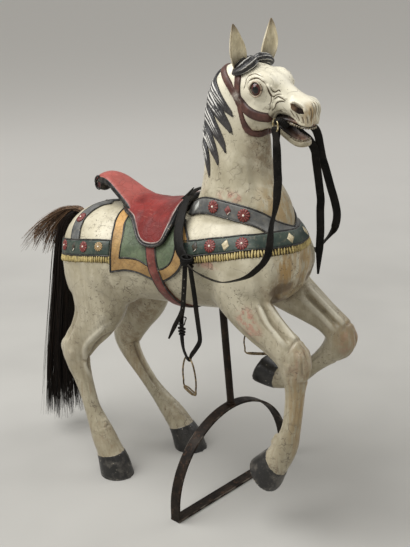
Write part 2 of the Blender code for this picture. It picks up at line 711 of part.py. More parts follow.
def rod(name, start, end, radius, sides=24):
    start, end = Vector(start), Vector(end)
    along = (end - start).normalized()
    side = along.orthogonal().normalized()
    other = along.cross(side)
    rings = []
    for point in (start, end):
        ring = []
        for k in range(sides):
            angle = 2 * math.pi * k / sides
            ring.append(point + (side * math.cos(angle) + other * math.sin(angle)) * radius)
        rings.append(ring)
    return from_rings(name, rings)


def wire_loop(name, points, radius, sides=8):
    """A round wire bent to a closed outline."""
    points = [Vector(point) for point in points]
    count = len(points)
    middle_point = sum(points, Vector()) / count
    flat = (points[1] - points[0]).cross(points[count // 2] - points[0]).normalized()
    mesh = bmesh.new()
    rings = []
    for i, point in enumerate(points):
        along = (points[(i + 1) % count] - points[i - 1]).normalized()
        out = along.cross(flat).normalized()
        if out.dot(point - middle_point) < 0:
            out = -out
        ring = []
        for k in range(sides):
            angle = 2 * math.pi * k / sides
            ring.append(mesh.verts.new(point + (out * math.cos(angle) + flat * math.sin(angle)) * radius))
        rings.append(ring)
    for i in range(count):
        a, b = rings[i], rings[(i + 1) % count]
        for k in range(sides):
            mesh.faces.new((a[k], a[(k + 1) % sides], b[(k + 1) % sides], b[k]))
    bmesh.ops.recalc_face_normals(mesh, faces=mesh.faces)
    data = bpy.data.meshes.new(name)
    mesh.to_mesh(data)
    mesh.free()
    obj = bpy.data.objects.new(name, data)
    bpy.context.scene.collection.objects.link(obj)
    return obj


def closed_curve(points, steps):
    """Points round a smooth closed curve through these."""
    rows = np.array(points, float)
    count = len(rows)
    out = []
    for i in range(count):
        p0, p1, p2, p3 = (rows[(i + k - 1) % count] for k in range(4))
        for t in np.linspace(0, 1, steps, endpoint=False):
            cubic = (2 * p0 - 5 * p1 + 4 * p2 - p3) * t**2 + (3 * p1 - p0 - 3 * p2 + p3) * t**3
            out.append(0.5 * (2 * p1 + (p2 - p0) * t + cubic))
    return out


def box(name, centre, size, turn=0.0):
    mesh = bmesh.new()
    bmesh.ops.create_cube(mesh, size=1)
    data = bpy.data.meshes.new(name)
    mesh.to_mesh(data)
    mesh.free()
    data.transform(
        Matrix.Translation(centre) @ Matrix.Rotation(math.radians(turn), 4, "Z") @ Matrix.Diagonal((*size, 1))
    )
    obj = bpy.data.objects.new(name, data)
    bpy.context.scene.collection.objects.link(obj)
    return obj


def lock(name, tree, root, tip, half_width, thick=0.008, lift=0.004):
    """One carved lock of the mane, laid on the neck from the crest to its pointed tip."""
    root, tip = Vector(root), Vector(tip)
    stations = []
    for t, width in ((0, 0.8), (0.25, 1.0), (0.5, 1.0), (0.75, 0.7), (0.92, 0.35), (1.0, 0.08)):
        sag = Vector((-0.010, 0, 0.004)) * math.sin(math.pi * t)
        point, facing = tree.find_nearest(root.lerp(tip, t) + sag)[:2]
        point = point + facing * lift * (1 - 0.5 * t)
        stations.append((*point, thick * (0.5 + 0.5 * width), half_width * width))
    return loft(name, stations, sides=12, steps=3)


def made_horse():
    """The carved body: its fused forms, flat soles, relief, and the sockets for the other pieces."""
    body = fused("horse", raw_forms(), VOXEL, 12)
    tree = tree_of(body)
    manes = [lock(f"lock_{i}", tree, *row) for i, row in enumerate(MANE_LOCKS)]
    crest = [(0.040, 0.0, 1.118), (0.010, 0.0, 1.108), (-0.018, 0.0, 1.080), (-0.036, 0.0, 1.035)]
    crest += [(-0.046, 0.0, 0.990), (-0.053, 0.0, 0.940), (-0.060, 0.0, 0.890), (-0.068, 0.0, 0.850)]
    manes.append(loft("crest", [(x + 0.002, y, z, 0.012, 0.016) for x, y, z in crest], sides=12, steps=3))
    forelocks = [
        loft(
            "forelock_right",
            [
                (0.086, 0.004, 1.132, 0.012, 0.014),
                (0.098, -0.014, 1.134, 0.015, 0.014),
                (0.082, -0.034, 1.127, 0.014, 0.014),
                (0.060, -0.046, 1.115, 0.010, 0.010),
                (0.050, -0.050, 1.108, 0.004, 0.004),
            ],
            sides=12,
        ),
        loft(
            "forelock_left",
            [
                (0.080, -0.004, 1.134, 0.011, 0.012),
                (0.092, 0.014, 1.134, 0.013, 0.012),
                (0.098, 0.034, 1.130, 0.012, 0.012),
                (0.100, 0.048, 1.124, 0.009, 0.009),
                (0.094, 0.055, 1.116, 0.004, 0.004),
            ],
            sides=12,
        ),
    ]
    ears = []
    for side in (1, -1):
        ears.append(
            loft(
                f"ear_{side}",
                [
                    (0.074, side * 0.040, 1.104, 0.012, 0.016),
                    (0.076, side * 0.048, 1.130, 0.014, 0.017),
                    (0.078, side * 0.056, 1.156, 0.016, 0.019),
                    (0.079, side * 0.062, 1.182, 0.012, 0.015),
                    (0.077, side * 0.066, 1.203, 0.006, 0.008),
                    (0.075, side * 0.068, 1.219, 0.002, 0.003),
                ],
                sides=16,
            )
        )
    body = fused("horse", [body, *manes, *forelocks, *ears], 0.003, 3)
    fewer(body, 3400)
    flat_soles(body)
    relief = []
    for side in (1, -1):
        flip = (lambda rows: rows) if side < 0 else mirrored
        relief += [
            panel(f"cloth_{side}", tree, CLOTH, 0.0045, 0.006, side, 4, 1),
            strip(f"breast_high_{side}", tree, flip(BREAST_HIGH), BAND, RAISED, 0.005, 1, 2),
            strip(f"crupper_{side}", tree, flip(CRUPPER), 0.032, RAISED, 0.005, 1, 2),
            strip(f"cheek_strap_{side}", tree, flip(CHEEK_STRAP), STRAP, 0.0022, 0.004, 1, 1),
            strip(f"throat_latch_{side}", tree, flip(THROAT_LATCH), STRAP, 0.0026, 0.004, 1, 1),
            strip(f"cheekpiece_{side}", tree, flip(CHEEKPIECE), STRAP, 0.0030, 0.004, 1, 1),
        ]
    relief += [
        strip("breeching", tree, across(BREECHING), BAND, RAISED + 0.0005, 0.005, 1, 2),
        strip("breast_low", tree, across(BREAST_LOW), BAND, RAISED + 0.001, 0.005, 1, 2),
        strip("girth", tree, across(GIRTH), 0.030, 0.0075, 0.005, 1, 2),
        seat("saddle", SEAT, 1, 12),
        loft("cantle", CANTLE, sides=12, steps=2),
    ]
    for piece in relief:
        boolean(body, piece, "UNION")
    outer_shell(body)
    return fewer(body, 5400)


def fewer(obj, triangles):
    """The same surface in about this many triangles, the flattest places losing theirs first."""
    step = obj.modifiers.new("triangles", "TRIANGULATE")
    applied(obj)
    step = obj.modifiers.new("fewer", "DECIMATE")
    step.ratio = min(1.0, triangles / len(obj.data.polygons))
    applied(obj)
    return obj


def outer_shell(obj):
    """Drops the closed pockets left between the body and the bands and saddle laid on it."""
    mesh = bmesh.new()
    mesh.from_mesh(obj.data)
    mesh.verts.ensure_lookup_table()
    shells = []
    seen = set()
    for start in mesh.verts:
        if start.index in seen:
            continue
        shell = [start]
        seen.add(start.index)
        for vert in shell:
            for edge in vert.link_edges:
                other = edge.other_vert(vert)
                if other.index not in seen:
                    seen.add(other.index)
                    shell.append(other)
        shells.append(shell)
    largest = max(shells, key=len)
    for shell in shells:
        if shell is not largest:
            bmesh.ops.delete(mesh, geom=shell, context="VERTS")
    mesh.to_mesh(obj.data)
    mesh.free()


def flat_soles(obj):
    """The hind hooves cut off flat on the floor."""
    mesh = bmesh.new()
    mesh.from_mesh(obj.data)
    geometry = mesh.verts[:] + mesh.edges[:] + mesh.faces[:]
    bmesh.ops.bisect_plane(mesh, geom=geometry, plane_co=(0, 0, 0), plane_no=(0, 0, 1), clear_inner=True)
    bmesh.ops.holes_fill(mesh, edges=[edge for edge in mesh.edges if edge.is_boundary])
    bmesh.ops.triangulate(mesh, faces=mesh.faces)
    mesh.to_mesh(obj.data)
    mesh.free()


def sphere(name, centre, radius, segments=14):
    mesh = bmesh.new()
    bmesh.ops.create_uvsphere(mesh, u_segments=segments, v_segments=segments // 2, radius=radius)
    data = bpy.data.meshes.new(name)
    mesh.to_mesh(data)
    mesh.free()
    data.transform(Matrix.Translation(centre))
    obj = bpy.data.objects.new(name, data)
    bpy.context.scene.collection.objects.link(obj)
    return obj


def at_side(point, side):
    return (point[0], point[1] * side, point[2])


def cut_sockets(body):
    """Room in the carved body for the eyes, the bit, the pole and the root of the tail."""
    for side in (1, -1):
        boolean(body, sphere("socket", at_side(EYE, side), EYE_RADIUS + GAP), "DIFFERENCE")
        nostril = ellipsoid("nostril", at_side(NOSTRIL, side), (0.013, 0.007, 0.0065), (0, 33, -12 * side), 12)
        boolean(body, nostril, "DIFFERENCE")
    start, end = at_side(BIT, -1.2), at_side(BIT, 1.2)
    boolean(body, rod("bit_hole", start, end, BIT_RADIUS + GAP), "DIFFERENCE")
    foot, top = Vector(POLE_FOOT), Vector(POLE_TOP)
    along = (top - foot).normalized()
    boolean(body, rod("pole_hole", foot, top + along * GAP, POLE_RADIUS + GAP), "DIFFERENCE")
    wider = [(x, y, z, a + 0.0005, b + 0.0005) for x, y, z, a, b in TAIL]
    x, y, z, a, b = wider[0]
    wider[0] = (x + 0.001, y, z - 0.0004, a, b)
    boolean(body, loft("tail_hole", wider, sides=16, steps=1), "DIFFERENCE")


def lightened(obj, degrees):
    """The same surface with its nearly flat neighbouring faces made one, as triangles."""
    step = obj.modifiers.new("flat", "DECIMATE")
    step.decimate_type = "DISSOLVE"
    step.angle_limit = math.radians(degrees)
    applied(obj)
    step = obj.modifiers.new("triangles", "TRIANGULATE")
    applied(obj)
    return obj


def pulled(rows, side):
    """Ribbon rows on the right side, or their mirror image on the left."""
    return [(at_side(point, -side), at_side(facing, -side)) for point, facing in rows]


def hung(point, side):
    """A point of the right stirrup's hangings, or the same point of the longer left one's."""
    x, y, z = point
    if side < 0:
        return (x, y, z)
    drop = FORK - z
    return (x - LEFT_BACK * max(drop, 0) / 0.24, -y, FORK - drop * (LEFT_LONGER if drop > 0 else 1))


def hung_rows(rows, side):
    return [(hung(point, side), at_side(facing, -side)) for point, facing in rows]


def made_straps():
    """The leather over the withers, divided and buckled round each stirrup, as one strap."""
    left = pulled(WITHERS_STRAP, 1)
    over = left[::-1] + WITHERS_STRAP[1:]
    strap = ribbon("stirrup_strap", over, 0.026, LEATHER * 1.6, 1)
    for side in (1, -1):
        hanger = ribbon("hanger", hung_rows(HANGER, side), HANGER_WIDTH, LEATHER, 1)
        boolean(strap, hanger, "UNION", True)
        end = ribbon("strap_end", hung_rows(STRAP_END, side), 0.011, LEATHER, 1, (1.0, 0.4))
        boolean(strap, end, "UNION", True)
        knot = ellipsoid("knot", at_side((-0.0065, -0.1595, 0.684), -side), (0.0145, 0.0060, 0.0125), segments=12)
        boolean(strap, knot, "UNION", True)
    return lightened(strap, 3)


def made_stirrup(name, side):
    """A stirrup of bent wire with a flat foot plate, hanging in its strap."""
    turn = Matrix.Rotation(math.radians(STIRRUP_TURN * -side), 4, "Z")
    place = Matrix.Translation(hung(STIRRUP_TOP, side)) @ turn
    outline = [tuple(place @ Vector((x, 0, z))) for x, z in STIRRUP]
    frame = wire_loop(name, closed_curve(outline, 2), STIRRUP_WIRE, 6)
    plate = box("plate", (0, 0, 0), FOOT_PLATE)
    plate.data.transform(place @ Matrix.Translation((0, 0, STIRRUP[5][1] - 0.0006)))
    return boolean(frame, plate, "UNION")


def made_buckle(name, side):
    """A square wire frame that leans, so that the strap goes over its upper bar and under its lower one."""
    wide, high = BUCKLE_SIZE[0] / 2, BUCKLE_SIZE[1] / 2
    corners = [(-wide, -high), (0, -high), (wide, -high), (wide, 0)]
    corners += [(wide, high), (0, high), (-wide, high), (-wide, 0)]
    place = Matrix.Translation(hung(BUCKLE, side))
    place = place @ Matrix.Rotation(math.radians(BUCKLE_LEAN * side), 4, "X")
    outline = [tuple(place @ Vector((x, 0, z))) for x, z in corners]
    return wire_loop(name, closed_curve(outline, 2), BUCKLE_WIRE, 6)


def made_arch():
    """The flat iron bar of the stand, bent to an arch with two short straight legs."""
    turn = Matrix.Rotation(math.radians(ARCH_TURN), 4, "Z")
    path = [(ARCH_RADIUS, BAR_THICKNESS + GAP), (ARCH_RADIUS, ARCH_LEG)]
    path += [
        (ARCH_RADIUS * math.cos(math.pi * k / 32), ARCH_LEG + ARCH_RADIUS * math.sin(math.pi * k / 32))
        for k in range(1, 32)
    ]
    path += [(-ARCH_RADIUS, ARCH_LEG), (-ARCH_RADIUS, BAR_THICKNESS + GAP)]
    rings = []
    for i, (y, z) in enumerate(path):
        before, after = path[max(i - 1, 0)], path[min(i + 1, len(path) - 1)]
        along = Vector((0, after[0] - before[0], after[1] - before[1])).normalized()
        if i in (0, len(path) - 1):
            along = Vector((0, 0, 1 if i == 0 else -1))
        out = along.cross(Vector((1, 0, 0))) * (BAR_THICKNESS / 2)
        wide = Vector((BAR_WIDTH / 2, 0, 0))
        centre = Vector((0, y, z))
        section = (out + wide, out - wide, -out - wide, wide - out)
        rings.append([turn @ (centre + corner) for corner in section])
    return from_rings("stand_arch", rings)


def finish(obj, colour, roughness, metallic=0.0):
    material = bpy.data.materials.new(obj.name)
    material.use_nodes = True
    shader = material.node_tree.nodes["Principled BSDF"]
    shader.inputs["Base Color"].default_value = (*colour, 1.0)
    shader.inputs["Roughness"].default_value = roughness
    shader.inputs["Metallic"].default_value = metallic
    obj.data.materials.clear()
    obj.data.materials.append(material)


def recentre(name):
    """One collection for the pieces, under an empty that puts their box's bottom centre at the origin."""
    home = bpy.data.collections.new(name)
    bpy.context.scene.collection.children.link(home)
    pieces = [obj for obj in bpy.context.scene.objects if obj.type == "MESH"]
    corners = [obj.matrix_world @ Vector(corner) for obj in pieces for corner in obj.bound_box]
    low = [min(corner[k] for corner in corners) for k in range(3)]
    high = [max(corner[k] for corner in corners) for k in range(3)]
    root = bpy.data.objects.new(name, None)
    root.location = (-(low[0] + high[0]) / 2, -(low[1] + high[1]) / 2, -low[2])
    home.objects.link(root)
    for obj in pieces:
        for collection in list(obj.users_collection):
            collection.objects.unlink(obj)
        home.objects.link(obj)
        obj.parent = root


if __name__ == "__main__":
    clear_scene()
    horse = made_horse()
    cut_sockets(horse)
    finish(horse, (0.72, 0.67, 0.54), 0.45)
    for side, word in ((1, "left"), (-1, "right")):
        eye = sphere(f"eye_{word}", at_side(EYE, side), EYE_RADIUS)
        finish(eye, (0.18, 0.02, 0.01), 0.05)
        centre = Vector(at_side(BIT_RING, side))
        ring = [
            centre + Vector((math.cos(a), 0, math.sin(a))) * BIT_RING_RADIUS
            for a in np.linspace(0, 2 * math.pi, 24, endpoint=False)
        ]
        finish(wire_loop(f"bit_ring_{word}", ring, RING_WIRE, 6), (0.70, 0.48, 0.18), 0.3, 1.0)
        finish(made_stirrup(f"stirrup_{word}", side), (0.20, 0.15, 0.10), 0.4, 1.0)
        finish(made_buckle(f"buckle_{word}", side), (0.05, 0.045, 0.04), 0.4, 1.0)
    bar = rod("bit_bar", at_side(BIT, -1), at_side(BIT, 1), BIT_RADIUS, 12)
    for side in (1, -1):
        boolean(bar, sphere("knob", (BIT[0], side * (BIT[1] + 0.004), BIT[2]), 0.0085, 12), "UNION")
    finish(bar, (0.02, 0.018, 0.016), 0.4)
    tail = loft("tail", TAIL, sides=16, steps=1)
    finish(tail, (0.03, 0.018, 0.012), 0.5)
    finish(ribbon("rein_right", REIN_RIGHT, REIN, LEATHER, 2, (0.6, 1.0)), (0.02, 0.018, 0.016), 0.5)
    finish(ribbon("rein_left", REIN_LEFT, REIN, LEATHER, 1, (0.25, 1.0)), (0.02, 0.018, 0.016), 0.5)
    finish(made_straps(), (0.02, 0.018, 0.016), 0.5)
    finish(rod("stand_pole", POLE_FOOT, POLE_TOP, POLE_RADIUS), STEEL[:3], 0.5, 1.0)
    finish(made_arch(), STEEL[:3], 0.5, 1.0)
    length = 2 * ARCH_RADIUS + BAR_THICKNESS
    floor_bar = box("stand_floor_bar", (0, 0, BAR_THICKNESS / 2), (BAR_WIDTH, length, BAR_THICKNESS), ARCH_TURN)
    finish(floor_bar, STEEL[:3], 0.5, 1.0)
    recentre("carousel_horse")
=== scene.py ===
# %% [markdown]
# # A carved and painted carousel horse
#
# The horse is one carving in wood, painted cream, with its harness carved in low relief and painted over.
# Glass eyes, a real-hair tail, leather reins and stirrup leathers and an iron stand are pieces of their own.
# The script loads the solid model as a frame, and then makes each visible surface again with finer relief
# and a procedural finish. Everything is drawn in metres about the foot of the stand's pole.

# %% Frame and tools
import json
import math

import bmesh
import bpy
import numpy as np
from mathutils import Matrix, Vector
from mathutils.bvhtree import BVHTree

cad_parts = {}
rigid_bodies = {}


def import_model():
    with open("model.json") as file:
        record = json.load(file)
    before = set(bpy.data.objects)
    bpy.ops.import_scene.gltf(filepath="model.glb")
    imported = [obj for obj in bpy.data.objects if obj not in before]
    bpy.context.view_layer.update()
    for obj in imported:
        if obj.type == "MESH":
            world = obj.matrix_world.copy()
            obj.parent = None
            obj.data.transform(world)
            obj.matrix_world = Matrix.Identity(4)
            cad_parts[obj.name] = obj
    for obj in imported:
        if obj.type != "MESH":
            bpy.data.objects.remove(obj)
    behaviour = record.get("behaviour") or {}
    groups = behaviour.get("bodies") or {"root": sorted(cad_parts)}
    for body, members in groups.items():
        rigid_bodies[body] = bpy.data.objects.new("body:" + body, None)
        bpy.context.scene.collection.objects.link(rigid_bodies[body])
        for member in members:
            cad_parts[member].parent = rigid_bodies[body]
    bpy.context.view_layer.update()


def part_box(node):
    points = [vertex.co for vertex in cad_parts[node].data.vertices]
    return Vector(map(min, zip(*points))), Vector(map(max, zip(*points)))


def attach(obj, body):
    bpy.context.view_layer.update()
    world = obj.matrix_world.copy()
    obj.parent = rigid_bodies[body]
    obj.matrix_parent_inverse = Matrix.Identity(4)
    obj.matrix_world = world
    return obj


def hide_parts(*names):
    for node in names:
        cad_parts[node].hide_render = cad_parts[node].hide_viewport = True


for leftover in list(bpy.data.objects):
    bpy.data.objects.remove(leftover)
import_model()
bar_low, bar_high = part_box("stand_floor_bar")
OFFSET = Vector(((bar_low.x + bar_high.x) / 2, (bar_low.y + bar_high.y) / 2, bar_low.z))
print("drawing origin in the frame:", tuple(round(v, 4) for v in OFFSET))


def mm(sizes):
    """Millimetres as metres: a number, or the numbers of a list however deep it is."""
    return type(sizes)(mm(size) for size in sizes) if isinstance(sizes, (list, tuple)) else sizes / 1000

# %% [markdown]
# ## Putting a finished piece in the frame
#
# Every piece is modelled about the foot of the pole, where its measurements were taken, and then its mesh is
# moved by one offset. The object itself stays at the origin, so patterns that read Object coordinates hold.

# %% Placing pieces
PIECES = []
BOTH_SIDES = ((1, "left"), (-1, "right"))


def shown(name, data, place=None):
    """An object of this mesh, camera or light, linked into the scene."""
    obj = bpy.data.objects.new(name, data)
    bpy.context.scene.collection.objects.link(obj)
    if place is not None:
        obj.matrix_world = place
    return obj


def new_piece(name, points, faces):
    """A mesh object from a list of points and a list of faces."""
    data = bpy.data.meshes.new(name)
    data.from_pydata([tuple(point) for point in points], [], faces)
    data.update()
    return shown(name, data)


def outwards(obj, merged=True):
    """The same mesh with its faces pointing out, and its doubles merged first."""
    mesh = bmesh.new()
    mesh.from_mesh(obj.data)
    if merged:
        bmesh.ops.remove_doubles(mesh, verts=mesh.verts, dist=1e-6)
    bmesh.ops.recalc_face_normals(mesh, faces=mesh.faces)
    mesh.to_mesh(obj.data)
    mesh.free()
    return obj


def remember(obj, **numbers):
    """Numbers kept on the mesh's points for the paint: one for each point, or one for all."""
    for label, values in numbers.items():
        every = np.full(len(obj.data.vertices), values, np.float32)
        obj.data.attributes.new(label, "FLOAT", "POINT").data.foreach_set("value", every)


def settle(obj, paint, stands_for=(), smooth=True):
    """Moves a finished mesh into the frame, paints it and lets it ride on the one body."""
    obj.data.transform(Matrix.Translation(OFFSET))
    obj.data.polygons.foreach_set("use_smooth", [smooth] * len(obj.data.polygons))
    obj.data.materials.clear()
    obj.data.materials.append(paint)
    obj.data.update()
    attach(obj, "root")
    if stands_for:
        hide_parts(*stands_for)
    PIECES.append(obj)
    print(f"{obj.name}: {len(obj.data.polygons)} faces")
    return obj


def mirrored(points):
    return [(x, -y, z) for x, y, z in points]


def both_halves(points):
    """A path on the right side that ends on the middle plane, carried on to the left side."""
    if abs(points[0][1]) < 1e-6:
        return mirrored(points)[::-1] + list(points[1:])
    return list(points) + mirrored(points)[::-1][1:]


def through(table, steps):
    """Rows of numbers as a smooth curve through every row, with this many points to each gap."""
    rows = np.array(table, float)
    padded = np.vstack([2 * rows[0] - rows[1], rows, 2 * rows[-1] - rows[-2]])
    out = []
    for i in range(len(rows) - 1):
        p0, p1, p2, p3 = padded[i : i + 4]
        for t in np.linspace(0, 1, steps, endpoint=False):
            bend = (2 * p0 - 5 * p1 + 4 * p2 - p3) * t**2 + (3 * p1 - p0 - 3 * p2 + p3) * t**3
            out.append(0.5 * (2 * p1 + (p2 - p0) * t + bend))
    out.append(rows[-1])
    return np.array(out)


def turns(sides):
    """The angles of points set evenly round a circle."""
    return [2 * math.pi * k / sides for k in range(sides)]


def ahead_at(rows, i, closed=False):
    """The way a line of points runs at its point number i."""
    last = len(rows) - 1
    before, after = (i - 1, (i + 1) % len(rows)) if closed else (max(i - 1, 0), min(i + 1, last))
    return (Vector(rows[after][:3]) - Vector(rows[before][:3])).normalized()


def travelled(rows):
    """How far along a line of points each of them lies."""
    spots, far = [Vector(row[:3]) for row in rows], [0.0]
    for before, here in zip(spots, spots[1:]):
        far.append(far[-1] + (here - before).length)
    return far


# %% [markdown]
# ## Studio
#
# A long lens looks down a little at the horse's right side, from in front. Three large soft lights stand
# round it: the key high on the left, a fill on the right and a soft wash from behind. The floor is one
# plain sheet, painted darker near the horse and paler far off as painted light.

# %% Camera
VIEW_AZIMUTH = math.radians(35.9511)
VIEW_PITCH = math.radians(19.9303)
VIEW_ROLL = math.radians(-1.5638)
VIEW_POINT = Vector((1.3189, -1.9173, 1.4521))
east, north = math.cos(VIEW_AZIMUTH), math.sin(VIEW_AZIMUTH)
level = Vector((east, north, 0))
looking = Vector((-north * math.cos(VIEW_PITCH), east * math.cos(VIEW_PITCH), -math.sin(VIEW_PITCH)))
upright = level.cross(looking)
rightwards = level * math.cos(VIEW_ROLL) + upright * math.sin(VIEW_ROLL)
upwards = upright * math.cos(VIEW_ROLL) - level * math.sin(VIEW_ROLL)
lens = bpy.data.cameras.new("camera")
lens.lens = 65.81
lens.sensor_width = 36
axes = zip(rightwards, upwards, -looking, VIEW_POINT + OFFSET)
camera = shown("camera", lens, Matrix((*axes, (0, 0, 0, 1))))
bpy.context.scene.camera = camera

bpy.context.scene.view_settings.view_transform = "Standard"

# %% Lights
def soft_light(name, place, aim, size, watts):
    data = bpy.data.lights.new(name, "AREA")
    data.shape = "DISK"
    data.size = size
    data.energy = watts
    obj = shown(name, data)
    obj.location = place
    obj.rotation_euler = (Vector(aim) - Vector(place)).to_track_quat("-Z", "Y").to_euler()


soft_light("key", (-1.0, -1.3, 3.5), (0.1, 0, 0.6), 3.4, 150)
soft_light("fill", (3.2, -1.2, 1.8), (0.1, 0, 0.6), 2.4, 5)
soft_light("rim", (1.2, 2.2, 2.8), (0.6, 0.3, 0.0), 2.6, 26)
sky = bpy.data.worlds.new("studio")
bpy.context.scene.world = sky
sky.use_nodes = True
glow = sky.node_tree.nodes["Background"].inputs
glow["Color"].default_value, glow["Strength"].default_value = (1.0, 0.985, 0.95, 1.0), 0.42


# %% [markdown]
# ## A small paint box
#
# A finish is a graph of nodes. These helpers add one node each to the finish that was named last, so that a
# finish reads like a recipe: where on the piece, which pattern, which colours, how rough, how deep.
# Patterns read Object coordinates, because the pieces never move inside their objects and a carved surface
# has no seams to unwrap.

# %% Node helpers
easel = {}


def finish_named(name, roughness=0.5, metallic=0.0, specular=0.5, varnish=None):
    """A new finish, put on the easel for the helpers below; a varnish is its weight and its roughness."""
    material = bpy.data.materials.new(name)
    material.use_nodes = True
    easel["tree"] = material.node_tree
    easel["shader"] = shader = material.node_tree.nodes["Principled BSDF"]
    for socket, value in (("Roughness", roughness), ("Metallic", metallic), ("Specular IOR Level", specular)):
        shader.inputs[socket].default_value = value
    if varnish:
        shader.inputs["Coat Weight"].default_value, shader.inputs["Coat Roughness"].default_value = varnish
    return material


def feed(tree, socket, value):
    """A link where the value is another node's output, and a plain number or colour where it isn't."""
    if isinstance(value, bpy.types.NodeSocket):
        tree.links.new(value, socket)
    elif isinstance(value, (tuple, list)) and socket.type == "RGBA" and len(value) == 3:
        socket.default_value = (*value, 1.0)
    else:
        socket.default_value = value


def add_node(tree, kind, inputs=(), **settings):
    """One node with its settings made and its inputs fed."""
    node = tree.nodes.new(kind)
    for setting, value in settings.items():
        setattr(node, setting, value)
    for socket, value in dict(inputs).items():
        feed(tree, node.inputs[socket], value)
    return node


def mixed(kind, inputs, output=0, **settings):
    """The output of one more node in the finish on the easel."""
    return add_node(easel["tree"], kind, inputs, **settings).outputs[output]


def coat(value, socket="Base Color"):
    """The finish's own colour, or its roughness."""
    feed(easel["tree"], easel["shader"].inputs[socket], value)


def where(scale=(1, 1, 1)):
    """Object coordinates measured from the drawing's origin."""
    start = tuple(-OFFSET[k] * scale[k] for k in range(3))
    spot = mixed("ShaderNodeTexCoord", {}, "Object")
    return mixed("ShaderNodeMapping", {"Vector": spot, "Location": start, "Scale": scale}, "Vector")


def grain(place, scale, detail=3.0, roughness=0.55):
    inputs = {"Vector": place, "Scale": scale, "Detail": detail, "Roughness": roughness}
    return mixed("ShaderNodeTexNoise", inputs, "Fac")


def wobbled(place, scale, amount):
    """The same place pushed about by a noise, so that a line drawn with it wanders."""
    push = mixed("ShaderNodeTexNoise", {"Vector": place, "Scale": scale, "Detail": 2.0}, "Color")
    centred = mixed("ShaderNodeVectorMath", {0: push, 1: (0.5, 0.5, 0.5)}, operation="SUBTRACT")
    return mixed("ShaderNodeVectorMath", {0: centred, 1: (amount,) * 3, 2: place}, operation="MULTIPLY_ADD")


def cells(place, scale, feature="DISTANCE_TO_EDGE"):
    return mixed("ShaderNodeTexVoronoi", {"Vector": place, "Scale": scale}, "Distance", feature=feature)


def maths(operation, a, b=0.0, clamp=False):
    return mixed("ShaderNodeMath", {0: a, 1: b}, operation=operation, use_clamp=clamp)


def times(a, b, clamp=False):
    return maths("MULTIPLY", a, b, clamp)


def plus(a, b, clamp=False):
    return maths("ADD", a, b, clamp)


def minus(a, b):
    return maths("SUBTRACT", a, b)


def larger(a, b):
    return maths("MAXIMUM", a, b)


def left_of(value):
    """What is left of 1 when the value is taken away."""
    return minus(1.0, value)


def ease(value, low, high, to_low=0.0, to_high=1.0):
    """The value carried smoothly from one range to another, and held at its ends."""
    inputs = {"From Min": low, "From Max": high, "To Min": to_low, "To Max": to_high, "Value": value}
    return mixed("ShaderNodeMapRange", inputs, "Result", interpolation_type="SMOOTHSTEP")


def blotches(place, scale, low, high, detail=3.0, roughness=0.55):
    """Soft spots: a grain with this part of its range spread from 0 to 1."""
    return ease(grain(place, scale, detail, roughness), low, high)


def crack_net(place, wobble, amount, size, thin, wide):
    """A net of wandering cracks, 1 on the cracks and 0 between them."""
    return left_of(ease(cells(wobbled(place, wobble, amount), size), thin, wide))


def over(amount, below, above):
    """One colour laid over another by an amount from 0 to 1."""
    return mixed("ShaderNodeMix", {"Factor": amount, 6: below, 7: above}, 2, data_type="RGBA")


def named(attribute):
    """A number painted on the mesh's own points."""
    return mixed("ShaderNodeAttribute", {}, "Fac", attribute_name=attribute)


def parts_of(vector):
    """A place's X, Y and Z, each by its name."""
    return add_node(easel["tree"], "ShaderNodeSeparateXYZ", {0: vector}).outputs


def distance(place, middle=(0, 0, 0)):
    return mixed("ShaderNodeVectorMath", {0: place, 1: middle}, "Value", operation="DISTANCE")


def relief(height, depth, strength=1.0):
    """Small heights on the finish, in metres."""
    coat(mixed("ShaderNodeBump", {"Distance": depth, "Strength": strength, "Height": height}), "Normal")


# %% Floor
paper = finish_named("pale_floor", roughness=0.9)
tint = over(blotches(where(), 1.3, 0.3, 0.7), (0.40, 0.39, 0.365), (0.46, 0.45, 0.42))
# Painted light: a darker grey near the horse, turning to a pale grey far off.
coat(over(ease(distance(where()), 0.9, 5.0), tint, (0.86, 0.84, 0.80)))
FLOOR_REACH, FLOOR_DROP = 40, -0.0005
around = ((-1, -1), (1, -1), (1, 1), (-1, 1))
floor_corners = [(FLOOR_REACH * x, FLOOR_REACH * y, FLOOR_DROP) for x, y in around]
floor = new_piece("floor", floor_corners, [(0, 1, 2, 3)])
floor.data.materials.append(paper)
# %% [markdown]
# ## The carved body
#
# A wood carver glues up rough blocks for trunk, neck, head and legs, saws them to outline and rounds them
# into each other. The same order works here: tubes through measured stations and a few ellipsoids for
# muscle are fused by a voxel remesh, their creases are smoothed, and one subdivision gives a skin fine
# enough to carve.

# %% Stations of the trunk, neck and head
TRUNK = mm([  # x, z of the middle, half height, half width
    (-492, 598, 26, 30), (-478, 602, 72, 78), (-430, 608, 112, 118), (-350, 614, 127, 136),
    (-250, 622, 122, 136), (-150, 632, 122, 137), (-50, 646, 128, 136), (50, 664, 130, 130),
    (130, 682, 118, 118), (180, 695, 88, 80), (210, 702, 40, 40),
])
NECK = mm([  # x, z, half depth, half width
    (40, 720, 149, 92), (46, 785, 134, 79), (38, 850, 100, 65), (35, 895, 89, 60), (34, 940, 86, 56),
    (34, 985, 81, 53), (34, 1035, 70, 50), (43, 1080, 56, 46), (60, 1112, 32, 34),
])
HEAD = mm([
    (40, 1088, 34, 36), (68, 1082, 49, 54), (100, 1073, 53, 60), (132, 1066, 46, 54), (160, 1054, 35, 43),
    (190, 1043, 29, 37), (215, 1034, 28, 36), (234, 1027, 25, 32), (243, 1024, 16, 20),
])
JAW = mm([
    (120, 1008, 22, 36), (150, 993, 13, 30), (175, 975, 10.5, 27), (197, 961, 10, 25.5), (214, 957, 9, 23),
    (227, 961, 7, 14),
])
